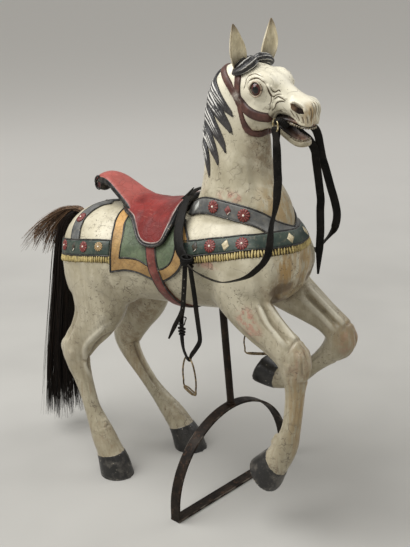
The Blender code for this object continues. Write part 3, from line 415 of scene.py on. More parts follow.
MASSES = [  # centre, radii, and degrees of turn about X, Y, Z: one side, and its mirror image
    ((128, 34, 1092), (36, 26, 24), (0, 20, 0)),      # brow
    ((118, 44, 1078), (26, 20, 26), (0, 0, 0)),       # eye socket
    ((108, 26, 1030), (48, 28, 50), (0, 25, 0)),      # cheek
    ((168, 28, 1060), (40, 14, 10), (0, 22, -14)),    # face ridge
    ((212, 24, 1044), (22, 15, 16), (0, 20, 0)),      # nostril
    ((222, 12, 1012), (22, 20, 14), (0, 10, 0)),      # upper lip
    ((-310, 85, 600), (120, 62, 105), (0, 20, 0)),    # stifle
    ((100, 85, 650), (95, 50, 90), (0, -30, 0)),      # shoulder
    ((143, 40, 650), (65, 48, 75), (0, 0, 0)),        # breast
]

# %% Stations of the legs
HIND_RIGHT = mm([  # x, y, z, half depth, half width
    (-375, -50, 650, 90, 70), (-372, -70, 580, 106, 68), (-352, -88, 510, 92, 56), (-362, -98, 450, 68, 44),
    (-398, -105, 390, 49, 36), (-428, -109, 345, 46, 32), (-428, -110, 310, 40, 28),
    (-414, -111, 270, 29, 24), (-399, -112, 225, 24, 22), (-384, -113, 180, 23, 22),
    (-366, -113, 140, 28, 27), (-346, -114, 100, 34, 33), (-331, -114, 70, 35, 35),
    (-314, -114, 28, 43, 41), (-300, -114, -30, 47, 45),
])
HIND_LEFT = mm([
    (-375, 50, 650, 90, 70), (-370, 70, 580, 106, 68), (-345, 88, 505, 92, 56), (-350, 98, 440, 68, 44),
    (-390, 104, 370, 49, 36), (-432, 109, 312, 46, 32), (-434, 110, 277, 36, 28), (-412, 111, 235, 27, 24),
    (-380, 112, 193, 22, 21), (-343, 113, 152, 22, 22), (-306, 113, 117, 27, 27), (-275, 114, 86, 32, 33),
    (-256, 114, 64, 34, 35), (-232, 114, 25, 43, 41), (-215, 114, -30, 47, 45),
])
FORE_RIGHT = mm([
    (50, -50, 680, 90, 70), (78, -72, 620, 80, 62), (115, -88, 575, 62, 50), (160, -97, 540, 51, 42),
    (205, -100, 510, 44, 37), (242, -101, 480, 43, 36), (251, -101, 440, 36, 31), (252, -101, 395, 25, 23),
    (248, -101, 338, 23, 22), (241, -101, 290, 24, 23), (230, -101, 250, 30, 27), (214, -101, 215, 33, 31),
    (196, -101, 188, 37, 36), (172, -101, 152, 46, 42), (160, -101, 135, 46, 43),
])
FORE_LEFT = mm([
    (50, 50, 670, 90, 70), (80, 72, 605, 78, 60), (130, 88, 558, 58, 48), (183, 97, 525, 45, 40),
    (231, 100, 497, 37, 35), (263, 101, 464, 39, 36), (245, 101, 425, 33, 31), (215, 101, 393, 25, 24),
    (185, 101, 364, 22, 22), (155, 101, 336, 24, 23), (125, 101, 316, 29, 27), (100, 101, 309, 30, 30),
    (77, 101, 307, 33, 34), (40, 101, 316, 38, 40), (28, 101, 320, 38, 40),
])

# %% Rough forms
def between(gaps, sides, start=0, around=None):
    """Four-cornered faces in the gaps between rings of points; a closed run is around this many rings."""
    faces = []
    for i in range(gaps):
        a, b = start + i * sides, start + (i + 1) % (around or gaps + 1) * sides
        faces += [(a + k, a + (k + 1) % sides, b + (k + 1) % sides, b + k) for k in range(sides)]
    return faces


def tube(name, stations, sides=28, steps=6):
    """A closed tube through (x, y, z, half depth, half width) stations, its sections square to its path."""
    rows = through(stations, steps)
    tangents = np.gradient(rows[:, :3], axis=0)
    points = []
    for row, tangent in zip(rows, tangents):
        along = Vector(tangent).normalized()
        across = (Vector((0, 1, 0)) - along * along.y).normalized()
        depth = along.cross(across)
        middle = Vector(row[:3])
        oval = [(row[3] * math.cos(a), row[4] * math.sin(a)) for a in turns(sides)]
        points += [middle + depth * u + across * v for u, v in oval]
    faces = between(len(rows) - 1, sides)
    faces += [tuple(range(sides))[::-1], tuple(range(len(points) - sides, len(points)))]
    return outwards(new_piece(name, points, faces))


def lump(name, centre, radii, turn=(0, 0, 0), segments=24):
    """An ellipsoid, turned about X, then Y, then Z."""
    mesh = bmesh.new()
    bmesh.ops.create_uvsphere(mesh, u_segments=segments, v_segments=segments * 2 // 3, radius=1)
    data = bpy.data.meshes.new(name)
    mesh.to_mesh(data)
    mesh.free()
    turned = Matrix.Identity(4)
    for angle, axis in zip(turn, "XYZ"):
        turned = Matrix.Rotation(math.radians(angle), 4, axis) @ turned
    data.transform(Matrix.Translation(centre) @ turned @ Matrix.Diagonal((*radii, 1)))
    return shown(name, data)


def joined(name, pieces):
    """Every piece in one mesh object; the pieces themselves go."""
    mesh = bmesh.new()
    for piece in pieces:
        mesh.from_mesh(piece.data)
        bpy.data.objects.remove(piece)
    data = bpy.data.meshes.new(name)
    mesh.to_mesh(data)
    mesh.free()
    return shown(name, data)


def applied(obj):
    """The object with its modifiers made real."""
    bpy.context.view_layer.update()
    evaluated = obj.evaluated_get(bpy.context.evaluated_depsgraph_get())
    data = bpy.data.meshes.new_from_object(evaluated)
    obj.modifiers.clear()
    obj.data = data
    return obj


def rough_forms():
    middle_rows = [[(x, 0.0, z, a, b) for x, z, a, b in rows] for rows in (TRUNK, NECK, HEAD, JAW)]
    forms = [tube("middle_form", rows) for rows in middle_rows]
    forms += [tube("leg", rows) for rows in (HIND_RIGHT, HIND_LEFT, FORE_RIGHT, FORE_LEFT)]
    for centre, radii, turn in MASSES:
        for side in (1, -1):
            x, y, z = mm(centre)
            forms.append(lump("mass", (x, y * side, z), mm(radii), (turn[0] * side, turn[1], turn[2] * side)))
    return forms


def fused(name, pieces, voxel, rounds):
    """The union of overlapping closed forms, with the creases between them softened."""
    obj = joined(name, pieces)
    remesh = obj.modifiers.new("fuse", "REMESH")
    remesh.mode = "VOXEL"
    remesh.voxel_size = voxel
    soften = obj.modifiers.new("soften", "SMOOTH")
    soften.factor = 0.5
    soften.iterations = rounds
    return applied(obj)


body = fused("carved_horse", rough_forms(), 0.004, 12)
print("rough body:", len(body.data.polygons), "faces")

# %% The rough surface, kept for laying the harness on
def surface_of(obj):
    mesh = bmesh.new()
    mesh.from_mesh(obj.data)
    tree = BVHTree.FromBMesh(mesh)
    mesh.free()
    return tree


rough = surface_of(body)
finer = body.modifiers.new("finer", "SUBSURF")
finer.levels = finer.render_levels = 1
applied(body)
FACE_FROM_X, FACE_FROM_Z = 0.088, 0.940
mesh = bmesh.new()
mesh.from_mesh(body.data)
face_edges = [e for e in mesh.edges if all(v.co.x > FACE_FROM_X and v.co.z > FACE_FROM_Z for v in e.verts)]
bmesh.ops.subdivide_edges(mesh, edges=face_edges, cuts=1, use_grid_fill=True)
mesh.to_mesh(body.data)
mesh.free()
print("fine body:", len(body.data.polygons), "faces, of which the horse's face has finer ones")

# %% [markdown]
# ## Cutting the forms
#
# Gouge cuts and raised muscles are strokes: a line through points on the skin, a radius and a depth. Points
# of the mesh near the line move along their normals, most at the line and not at all a radius away. A plus
# depth raises a ridge and a minus one cuts a groove. A sum of cuts is kept as dirt and painted shade: the
# paint darkens the grooves with dirt and painted shade and lightens the ridges as a painted highlight.

# %% Strokes
def line_distance(points, line):
    """Each point's distance to a polyline, and how far along the line its nearest place is, from 0 to 1."""
    best = np.full(len(points), 1e9)
    along = np.zeros(len(points))
    lengths = np.linalg.norm(np.diff(line, axis=0), axis=1)
    total, passed = lengths.sum(), 0.0
    for a, b, length in zip(line, line[1:], lengths):
        run = b - a
        t = np.clip(((points - a) @ run) / max(length**2, 1e-12), 0, 1)
        gap = np.linalg.norm(points - (a + t[:, None] * run), axis=1)
        nearer = gap < best
        best[nearer] = gap[nearer]
        along[nearer] = ((passed + t * length) / total)[nearer]
        passed += length
    return best, along


class Carving:
    """The body's points as arrays, with the cuts made on them so far."""

    def __init__(self, obj):
        self.obj = obj
        count = len(obj.data.vertices)
        self.points = np.empty(count * 3, np.float32)
        obj.data.vertices.foreach_get("co", self.points)
        self.points = self.points.reshape(-1, 3).astype(float)
        self.shade = np.zeros(count)
        self.renew()

    def renew(self):
        self.obj.data.vertices.foreach_set("co", self.points.astype(np.float32).ravel())
        self.obj.data.update()
        normals = np.empty(len(self.points) * 3, np.float32)
        self.obj.data.vertices.foreach_get("normal", normals)
        self.normals = normals.reshape(-1, 3).astype(float)
        self.tree = surface_of(self.obj)

    def stroke(self, line, radius, depth, fade=0.15, both=False, dirt=None, sharp=2.0):
        """One ridge or groove, faded over this share of its length at its ends, on one side or both."""
        for side in ((1, -1) if both else (1,)):
            path = through([(x, y * side, z) for x, y, z in line], 5)
            path = np.array([self.tree.find_nearest(Vector(point))[0] for point in path])
            low, high = path.min(0) - radius, path.max(0) + radius
            near = np.flatnonzero(((self.points > low) & (self.points < high)).all(1))
            gap, along = line_distance(self.points[near], path)
            shape = np.clip(1 - (gap / radius) ** 2, 0, 1) ** sharp
            if fade:
                shape *= np.clip(np.minimum(along, 1 - along) / fade, 0, 1)
            self.points[near] += self.normals[near] * (depth * shape)[:, None]
            # Grooves add dirt and painted shade; ridges take it away, which the paint shows as a painted
            # highlight.
            darker = -depth / 0.004 if dirt is None else dirt
            self.shade[near] += shape * darker

    def mould(self, centre, radii, depth, both=False, dirt=0.0):
        """A soft swelling or hollow of ellipsoid reach."""
        for side in ((1, -1) if both else (1,)):
            middle_point = np.array((centre[0], centre[1] * side, centre[2]))
            reach = np.linalg.norm((self.points - middle_point) / np.array(radii), axis=1)
            near = np.flatnonzero(reach < 1)
            shape = (1 - reach[near] ** 2) ** 2
            self.points[near] += self.normals[near] * (depth * shape)[:, None]
            self.shade[near] += shape * dirt

    def flatten(self, spot, facing, radius):
        """Everything past a plane, within a radius of a spot, pressed back on to the plane."""
        spot, facing = np.array(spot), np.array(facing) / np.linalg.norm(facing)
        high = (self.points - spot) @ facing
        near = (high > 0) & (np.linalg.norm(self.points - spot, axis=1) < radius)
        self.points[near] -= high[near, None] * facing

    def cut_all(self, cuts, fade, both=False):
        """A list of strokes: the line, radius and depth in millimetres, and the dirt and painted shade."""
        for line, radius, depth, dirt in cuts:
            self.stroke(mm(line), mm(radius), mm(depth), fade, both, dirt)


carving = Carving(body)

# %% [markdown]
# ## Places on a leg
#
# The four legs stand in different poses, but a tendon or a joint is always at the same place round the same
# station. A place on a leg is therefore given as a station number and an angle round it: 0 is the front, 90
# is the outside, 180 the back and -90 the inside. That lets one list of cuts serve both legs of a pair.

# %% Leg places
LEGS = {"hind_right": (HIND_RIGHT, -1), "hind_left": (HIND_LEFT, 1),
        "fore_right": (FORE_RIGHT, -1), "fore_left": (FORE_LEFT, 1)}


def leg_place(leg, station, angle):
    rows, side = LEGS[leg]
    smooth = through(rows, 8)
    i = min(int(round(station * 8)), len(smooth) - 2)
    along = Vector(smooth[i + 1][:3] - smooth[i][:3]).normalized()
    across = (Vector((0, 1, 0)) - along * along.y).normalized()
    depth = along.cross(across)
    turn = math.radians(angle)
    *middle, deep, wide = smooth[i]
    return tuple(Vector(middle) + depth * (deep * math.cos(turn)) + across * (wide * math.sin(turn) * side))


HIND_CUTS = [  # stations and angles, radius, depth, dirt and painted shade
    ([(3, 180), (4, 180), (4.9, 180)], 11, 3, -0.4),
    ([(2.6, 122), (3.4, 128), (4.2, 132), (4.9, 128)], 13, -5.5, 0.7),
    ([(2.6, -122), (3.4, -128), (4.2, -132), (4.9, -128)], 13, -5, 0.9),
    ([(2.2, 48), (3, 55), (3.9, 60)], 24, 3.5, -0.3), ([(0.9, 148), (1.6, 142), (2.4, 132)], 20, -3.5, 0.2),
    ([(1.3, 35), (2, 28), (2.7, 12)], 18, -2.5, 0.2), ([(4.9, 92), (5.4, 82), (5.9, 80)], 13, 3, 0),
    ([(4.9, -92), (5.4, -82), (5.9, -80)], 13, 3, 0), ([(5.1, 0), (5.6, 0), (6.1, 0)], 12, 2.2, 0),
    ([(5.7, 55), (5.9, 20), (5.9, -20), (5.7, -55)], 8, -1.8, 0.8),
    ([(6.1, 122), (7.2, 126), (8.4, 126), (9.5, 122)], 7.5, -3.2, 0.7),
    ([(6.1, -122), (7.2, -126), (8.4, -126), (9.5, -122)], 7.5, -3.2, 0.8),
    ([(6.4, 40), (7.6, 36), (8.8, 38)], 6, -1.4, 0.4),
    ([(9.9, 180), (10.3, 180), (10.8, 180)], 18, 7.5, -0.2), ([(9.9, 0), (10.4, 0)], 16, 3, 0),
    ([(10.3, 100), (10.5, 60), (10.5, 20), (10.5, -20), (10.5, -60)], 7, 1, 0.3),
    ([(11.3, 165), (11.9, 175), (11.3, -165)], 11, -3.5, 0.9),
]
FORE_CUTS = [
    ([(1.9, 122), (3, 124), (4.2, 126), (4.8, 124)], 13, -3.4, 0.7),
    ([(4.9, 34), (5.2, 20), (5.6, 14), (6, 18)], 14, 3.4, 0.2),
    ([(4.9, -34), (5.2, -20), (5.6, -14), (6, -18)], 14, 3.4, 0.2),
    ([(5.1, 82), (5.5, 86), (5.9, 88)], 12, 2.6, 0), ([(5.1, -82), (5.5, -86), (5.9, -88)], 12, 2.6, 0),
    ([(4.75, 62), (4.65, 20), (4.65, -20), (4.75, -62)], 7, -2, 1),
    ([(6.25, 60), (6.35, 20), (6.35, -20), (6.25, -60)], 8, -2.4, 1),
    ([(5.5, 170), (5.8, 180)], 14, 3.5, 0),
    ([(6.4, 118), (7.4, 122), (8.4, 122), (9.4, 118)], 7.5, -3.2, 0.7),
    ([(6.4, -118), (7.4, -122), (8.4, -122), (9.4, -118)], 7.5, -3.2, 0.7),
    ([(6.7, 22), (7.6, 20), (8.6, 24), (9.6, 26)], 4.8, -1.3, 0.8),
    ([(6.8, 46), (7.8, 48), (9.2, 44)], 4.8, -1.1, 0.6),
    ([(6.7, -14), (7.8, -16), (9.4, -12)], 4.8, -1.1, 0.7),
    ([(9.7, 180), (10.2, 180), (10.7, 180)], 17, 7, -0.2),
    ([(5, -25), (5.6, -12), (6.2, -20)], 4.5, -2.4, 1.7), ([(4.9, 5), (5.5, 14), (6.3, 4)], 4.5, -2.4, 1.7),
    ([(5.1, 28), (5.6, 34), (6, 30)], 4, -2, 1.4), ([(4.9, -8), (5.6, 0), (6.3, -6)], 7, 3.4, -0.4),
    ([(11.2, 165), (11.7, 178), (11.2, -165)], 11, -3.5, 0.9),
]
for leg in LEGS:
    for places, radius, depth, dirt in (HIND_CUTS if leg.startswith("hind") else FORE_CUTS):
        carving.stroke([leg_place(leg, *place) for place in places], mm(radius), mm(depth), 0.2, dirt=dirt)
TRACED_CUTS = [  # ridges and grooves that belong to one leg
    ([(170, -98, 626), (188, -99, 580), (217, -102, 556), (250, -107, 529),
      (268, -111, 508)], 11, 5.5, -0.6),
    ([(160, -116, 606), (193, -126, 559), (221, -127, 534), (249, -130, 509)], 11, 5, -0.6),
    ([(164, -110, 612), (181, -113, 584), (201, -119, 561), (228, -120, 539),
      (256, -122, 515)], 8.5, -7.5, 1),
    ([(155, -122, 600), (172, -127, 572), (187, -130, 556), (212, -130, 536)], 6, -1.8, 1.3),
    ([(175, -80, 605), (205, -82, 560), (240, -84, 528)], 10, -4, 0.9),
    ([(140, 115, 606), (193, 126, 550), (230, 130, 515)], 11, 4.5, -0.5),
    ([(164, 110, 596), (201, 119, 552), (240, 120, 522)], 8.5, -6, 1),
    ([(175, 78, 589), (220, 82, 550), (258, 83, 520), (285, 88, 492)], 11, 5.5, -0.8),
    ([(170, 66, 580), (203, 67, 553), (242, 70, 524), (270, 72, 498)], 8.5, -7.5, 1.3),
    ([(160, 58, 570), (199, 60, 541), (237, 64, 510), (268, 68, 480)], 11, 5, -0.6),
    ([(-285, -110, 459), (-308, -125, 442), (-336, -131, 414), (-363, -133, 387), (-378, -132, 364),
      (-390, -122, 328), (-390, -118, 296), (-386, -109, 269), (-380, -104, 238)], 11, 4.5, -0.6),
    ([(-300, -100, 425), (-330, -112, 400), (-352, -114, 372), (-366, -110, 345), (-371, -106, 310),
      (-370, -100, 275)], 12, -7, 1.5),
    ([(-402, 117, 310), (-394, 117, 262), (-374, 117, 215), (-338, 116, 165)], 9, 3.5, -0.7),
    ([(-400, 96, 320), (-389, 102, 250), (-360, 104, 201), (-323, 104, 155)], 8, -5.5, 1.5),
]
carving.cut_all(TRACED_CUTS, 0.18)
carving.mould((-0.474, -0.109, 0.351), (0.032, 0.034, 0.03), 0.0065)
carving.mould((-0.456, -0.109, 0.303), (0.03, 0.03, 0.032), -0.0045)
print("leg cuts made")

# %% [markdown]
# ## Trunk, neck and breast
#
# The trunk is kept plain by the carver, because the harness is its decoration. What shows is the groove of
# the neck, the fold of the flank, the divided breast and the deep fold where each foreleg leaves it.

# %% Trunk and neck cuts
BODY_CUTS = [  # line on the right side, radius, depth, dirt and painted shade
    ([(100, -40, 960), (118, -62, 890), (132, -78, 820)], 18, -3.5, 0.4),
    ([(60, -52, 940), (66, -62, 880), (70, -74, 820)], 24, 2.2, 0),
    ([(30, -128, 680), (32, -128, 630), (48, -122, 585)], 22, -3, 0.2),
    ([(150, -92, 690), (158, -96, 640), (152, -100, 596)], 20, -4, 0.5),
    ([(128, -50, 585), (150, -60, 600), (172, -66, 620), (186, -60, 645)], 16, -5, 1.6),
    ([(60, -60, 560), (95, -52, 562), (128, -48, 580)], 14, -4, 1.8),
    ([(-262, -100, 528), (-276, -118, 560), (-282, -128, 600)], 16, -4, 0.5),
    ([(-310, -60, 500), (-290, -40, 510), (-270, -10, 512)], 14, -3.5, 1.2),
    ([(-452, -70, 560), (-440, -90, 500)], 22, 2, 0),
]
carving.cut_all(BODY_CUTS, 0.25, both=True)
MIDDLE_CUTS = [  # the divided breast and the furrow between the buttocks
    ([(206, 0, 715), (205, 0, 670), (190, 0, 620), (165, 0, 585)], 20, -7, 0.9),
    ([(-470, 0, 640), (-462, 0, 590), (-440, 0, 540), (-400, 0, 505)], 16, -6, 1.2),
]
carving.cut_all(MIDDLE_CUTS, 0.2)
BREAST_FOLDS = [([(182, -104, 632), (188, -80, 625), (200, -52, 627), (206, -22, 625)], 22, -3.5, 2.6)]
carving.cut_all(BREAST_FOLDS, 0.2, both=True)
# Dirt and painted shade under the chest, between the forelegs, with a cut too shallow to see.
SHADED_AND_SOILED_FOLD = [([(178, -70, 598), (165, -30, 575), (150, 20, 560), (162, 49, 553)], 32, -0.5, 2.6)]
carving.cut_all(SHADED_AND_SOILED_FOLD, 0.15)
carving.mould((0.175, -0.052, 0.66), (0.04, 0.04, 0.045), 0.004, True)
carving.mould((-0.335, -0.14, 0.56), (0.07, 0.05, 0.06), 0.004, True)
carving.renew()
print("body cuts made")

# %% [markdown]
# ## Hooves
#
# Each hoof is sawn flat at the sole and stands out from the hair by a small step at the coronet. A distance
# from the coronet's plane is stored on the points, so that the black paint can stop on one crisp line.

# %% Soles and coronets
SOLES = [  # a point on the sole and the way it faces, with the reach of the cut
    ((166.5, -101, 143.5), (-0.72, 0, -0.69), 75), ((27, 101, 321), (-0.91, 0, 0.4), 70),
    ((-300, -114, 0), (0, 0, -1), 100), ((-220, 114, 0), (0, 0, -1), 100),
]
CORONETS = [  # a point on the coronet, the way down to the sole, and the middle of the hoof
    ((204, -101, 190), (-0.78, 0, -0.62), (178, -101, 158)),
    ((84, 101, 306), (-0.99, 0, 0.13), (52, 101, 312)),
    ((-315, -114, 62), (0.16, 0, -0.987), (-303, -114, 25)),
    ((-240, 114, 66), (0.33, 0, -0.944), (-225, 114, 28)),
]
HOOF_REACH, HAIR_STEP, STEP_WIDTH = mm((85, 1.2, 2.5))
hoof = np.full(len(carving.points), -0.1)
for spot, down, heart in CORONETS:
    near = np.linalg.norm(carving.points - np.array(mm(heart)), axis=1) < HOOF_REACH
    deep = (carving.points - np.array(mm(spot))) @ (np.array(down) / np.linalg.norm(down))
    hoof[near] = np.maximum(hoof[near], deep[near])
carving.points += carving.normals * (HAIR_STEP * np.clip(hoof / STEP_WIDTH + 0.5, 0, 1))[:, None]
# Dirt and painted shade in a band along the coronet's step.
carving.shade += 0.8 * np.exp(-((hoof + 0.002) / 0.003) ** 2)
for spot, facing, reach in SOLES:
    carving.flatten(mm(spot), facing, mm(reach))
carving.renew()
print("hooves cut:", int((hoof > 0).sum()), "points of horn")


# %% [markdown]
# ## The head
#
# Most of the carver's time went into the head: a round eye under two brow lines, veins on the side of the
# nose, a flared nostril, wrinkles over the lip, and an open mouth that shows its upper teeth.

# %% Face cuts
FACE_LINES = mm([
    [(90, -58, 1076), (94, -57, 1087), (95, -52, 1097), (99, -48, 1106), (109, -48, 1110), (120, -49, 1110),
      (129, -51, 1107), (137, -52, 1104)],
    [(104, -61, 1076), (102, -58, 1089), (105, -55, 1097), (113, -55, 1101), (125, -57, 1104),
      (134, -56, 1101), (141, -56, 1097), (146, -54, 1091)],
    [(147, -54, 1089), (151, -49, 1078), (154, -44, 1068), (159, -43, 1064), (166, -40, 1068),
      (171, -36, 1069), (175, -35, 1068)],
    [(154, -49, 1086), (156, -46, 1078), (161, -39, 1074), (166, -33, 1077), (171, -31, 1074)],
    [(159, -43, 1057), (168, -40, 1064), (174, -38, 1062), (182, -36, 1058), (186, -36, 1055)],
    [(152, -38, 1030), (157, -38, 1037), (163, -41, 1047), (168, -40, 1052), (176, -39, 1054),
      (185, -37, 1053)],
    [(149, -52, 1087), (150, -49, 1076), (154, -45, 1065), (154, -45, 1054), (150, -41, 1042),
      (147, -42, 1032)],
])
FACE_CUTS = [  # line on the right side, radius, depth, dirt and painted shade
    ([(98, -54, 1094), (110, -50, 1106), (128, -52, 1106), (143, -54, 1096)], 7, 2, -0.4),
    ([(104, -60, 1070), (112, -62, 1062), (126, -62, 1060), (140, -58, 1066)], 3, -1.2, 1),
    ([(110, -60, 1052), (138, -56, 1044), (166, -47, 1040)], 11, 2.6, -0.3),
    ([(158, -40, 1084), (180, -34, 1078), (200, -30, 1068)], 10, -2.2, 0.2),
    ([(200, -40, 1050), (209, -42, 1047), (218, -41, 1042), (226, -37, 1036)], 10, -9, 2),
    ([(196, -38, 1055), (208, -38, 1057), (221, -36, 1052), (231, -32, 1042),
      (233, -31, 1032)], 5.2, 3.2, -0.6),
    ([(197, -39, 1044), (208, -40, 1036), (220, -38, 1030), (230, -34, 1028)], 4.5, 2, -0.2),
    ([(243, -8, 1003), (234, -24, 999), (220, -32, 1002), (204, -36, 1008), (188, -38, 1015)], 5, 2.2, 0.3),
    ([(176, -40, 1024), (166, -42, 1014), (160, -41, 1002), (160, -38, 992)], 7, -3, 1.6),
    ([(186, -41, 1024), (178, -42, 1030), (168, -43, 1026)], 4, -1, 0.9),
    ([(94, -40, 984), (120, -40, 981), (142, -40, 989), (156, -36, 996)], 8, 2.4, -0.2),
    ([(106, -50, 1000), (126, -50, 998), (146, -46, 1004)], 8, -1.8, 0.5),
    ([(196, -22, 955), (208, -20, 950), (220, -14, 953)], 4, -1.2, 0.8),
    ([(180, -26, 980), (199, -25, 969), (216, -21, 964), (228, -10, 966)], 4.2, 2.4, 0.4),
    ([(166, -28, 980), (176, -27, 970), (186, -26, 962)], 4.2, -2, 1.6),
]
carving.cut_all(FACE_CUTS, 0.12, both=True)
# Each vein: a groove darkened with dirt and painted shade, and just above it a raised ridge lightened as a
# painted highlight.
for line in FACE_LINES:
    carving.stroke(line, 0.0028, -0.0015, 0.1, both=True, dirt=1.5)
    carving.stroke([(x + 0.002, y, z + 0.0045) for x, y, z in line], 0.004, 0.0022, 0.1, both=True, dirt=-0.4)
WRINKLES = mm([
    [(236, -5, 1060), (246.5, -5, 1040), (248, -5, 1018)],
    [(236, -13, 1058), (245, -13, 1040), (247, -13, 1012)],
    [(238, -22, 1046), (244, -21, 1030), (244, -20, 1008)],
    [(234, -30, 1026), (238, -28, 1016), (238, -26, 1004)],
    [(224, -36, 1024), (228, -34, 1014), (228, -32, 1004)],
    [(210, -40, 1030), (214, -38, 1018), (216, -36, 1008)],
    [(196, -42, 1036), (200, -41, 1024), (202, -38, 1012)],
])
# The wrinkles are grooves darkened with dirt and painted shade.
for wrinkle in WRINKLES:
    carving.stroke(wrinkle, 0.0032, -0.0018, 0.2, both=True, dirt=2.4)
carving.mould((0.124, -0.068, 1.081), (0.026, 0.026, 0.024), -0.003, True, 0.3)
carving.mould((0.098, -0.052, 1.022), (0.036, 0.03, 0.034), 0.0022, True)
carving.renew()
print("face cut; deepest dirt", round(float(carving.shade.max()), 2))

# %% [markdown]
# ## What the paint remembers
#
# Old paint is warm where varnish has run, brown and speckled where hands and knocks have reached it, and pink
# where red has rubbed through. Brown is also laid as painted shade under the belly and chest, in the armpits
# and under the jaw. Those places are stored as soft patches on the points, beside the dirt and painted shade.

# %% Patches
def patch(spots):
    """The strongest of several soft ellipsoid patches at each point: centre, radii, strength."""
    amount = np.zeros(len(carving.points))
    for centre, radii, strength in spots:
        reach = np.linalg.norm((carving.points - np.array(mm(centre))) / np.array(mm(radii)), axis=1)
        amount = np.maximum(amount, strength * np.clip(1 - reach**2, 0, 1) ** 1.2)
    return amount


OCHRE = [
    ((205, 0, 680), (70, 70, 150), 1), ((160, -20, 800), (70, 60, 100), 0.9),
    ((245, -20, 1020), (30, 40, 50), 1.1), ((268, -101, 360), (40, 50, 220), 0.8),
    ((150, 0, 900), (40, 60, 100), 0.5), ((280, 101, 480), (60, 60, 60), 0.6),
    ((-400, 110, 200), (50, 50, 180), 0.4), ((200, -30, 600), (100, 90, 80), 0.8),
    ((200, -58, 665), (50, 32, 80), 1.3), ((200, 58, 665), (50, 32, 80), 0.8),
]
# Brown stains on knees, hocks, fetlocks, throat and cheek, and brown painted shade under the belly and chest,
# in the armpits, under the jaw and on the inner faces of the far legs.
BROWN = [
    ((262, -101, 455), (50, 60, 60), 1), ((285, 101, 475), (50, 60, 60), 1),
    ((-410, 109, 300), (60, 60, 90), 0.9), ((-400, -109, 330), (60, 60, 80), 0.5),
    ((120, 0, 940), (70, 90, 90), 1.3), ((150, 0, 860), (50, 60, 120), 0.5),
    ((-335, -114, 100), (50, 60, 60), 0.6), ((-265, 114, 100), (50, 60, 50), 0.5),
    ((170, 0, 600), (80, 110, 55), 1.7), ((20, 0, 530), (140, 100, 50), 0.5),
    ((-280, 20, 500), (140, 100, 100), 1.3), ((-330, 60, 420), (90, 60, 140), 1.3),
    ((-400, 90, 300), (60, 50, 100), 1.3), ((200, 50, 575), (80, 50, 50), 0.9),
    ((205, -101, 220), (50, 50, 50), 0.5), ((110, 0, 520), (100, 140, 40), 0.6),
    ((-60, -100, 560), (100, 80, 60), 0.45), ((-60, 100, 560), (100, 80, 60), 0.45),
    ((112, 0, 930), (35, 70, 75), 1.5), ((103, 0, 976), (45, 80, 28), 1.8),
    ((192, -78, 628), (55, 50, 45), 1.7), ((192, 78, 628), (55, 50, 45), 1.2),
    ((215, 0, 960), (35, 40, 16), 1.3), ((135, -49, 1020), (50, 30, 30), 0.5),
]
PINK = [
    ((262, -101, 470), (35, 50, 50), 0.5), ((285, 101, 460), (30, 50, 50), 0.6),
    ((29, -130, 674), (50, 60, 14), 0.8), ((139, -137, 561), (32, 60, 36), 1.3),
    ((58, -69, 828), (50, 40, 14), 1), ((160, -137, 535), (30, 50, 30), 0.8),
]
# Patches added to the dirt and painted shade: under the throat, in the armpits and low on the cheek.
GRIME_AND_SHADE = [
    ((112, -18, 925), (30, 45, 75), 0.85), ((105, -10, 968), (40, 60, 22), 1.1),
    ((190, -85, 612), (45, 40, 22), 0.9), ((190, 85, 612), (45, 40, 22), 0.6),
    ((145, -44, 1040), (25, 20, 20), 0.5),
]
remember(body, dirt=carving.shade + patch(GRIME_AND_SHADE), hoof=hoof)
remember(body, ochre=patch(OCHRE), brown=patch(BROWN), pink=patch(PINK))
print("patches stored")


# %% [markdown]
# ## Thinning the mesh
#
# The carved skin is finer than it has to be on the plain trunk. A collapse takes points away where the
# surface is nearly flat, so the cuts and the face keep theirs.

# %% Lighter skin
FACES_WANTED = 192000
body.modifiers.new("triangles", "TRIANGULATE")
applied(body)
print("carved:", len(body.data.polygons), "triangles")
fewer = body.modifiers.new("fewer", "DECIMATE")
fewer.ratio = min(1.0, FACES_WANTED / len(body.data.polygons))
applied(body)
print("skin:", len(body.data.polygons), "triangles")
skin_tree = surface_of(body)
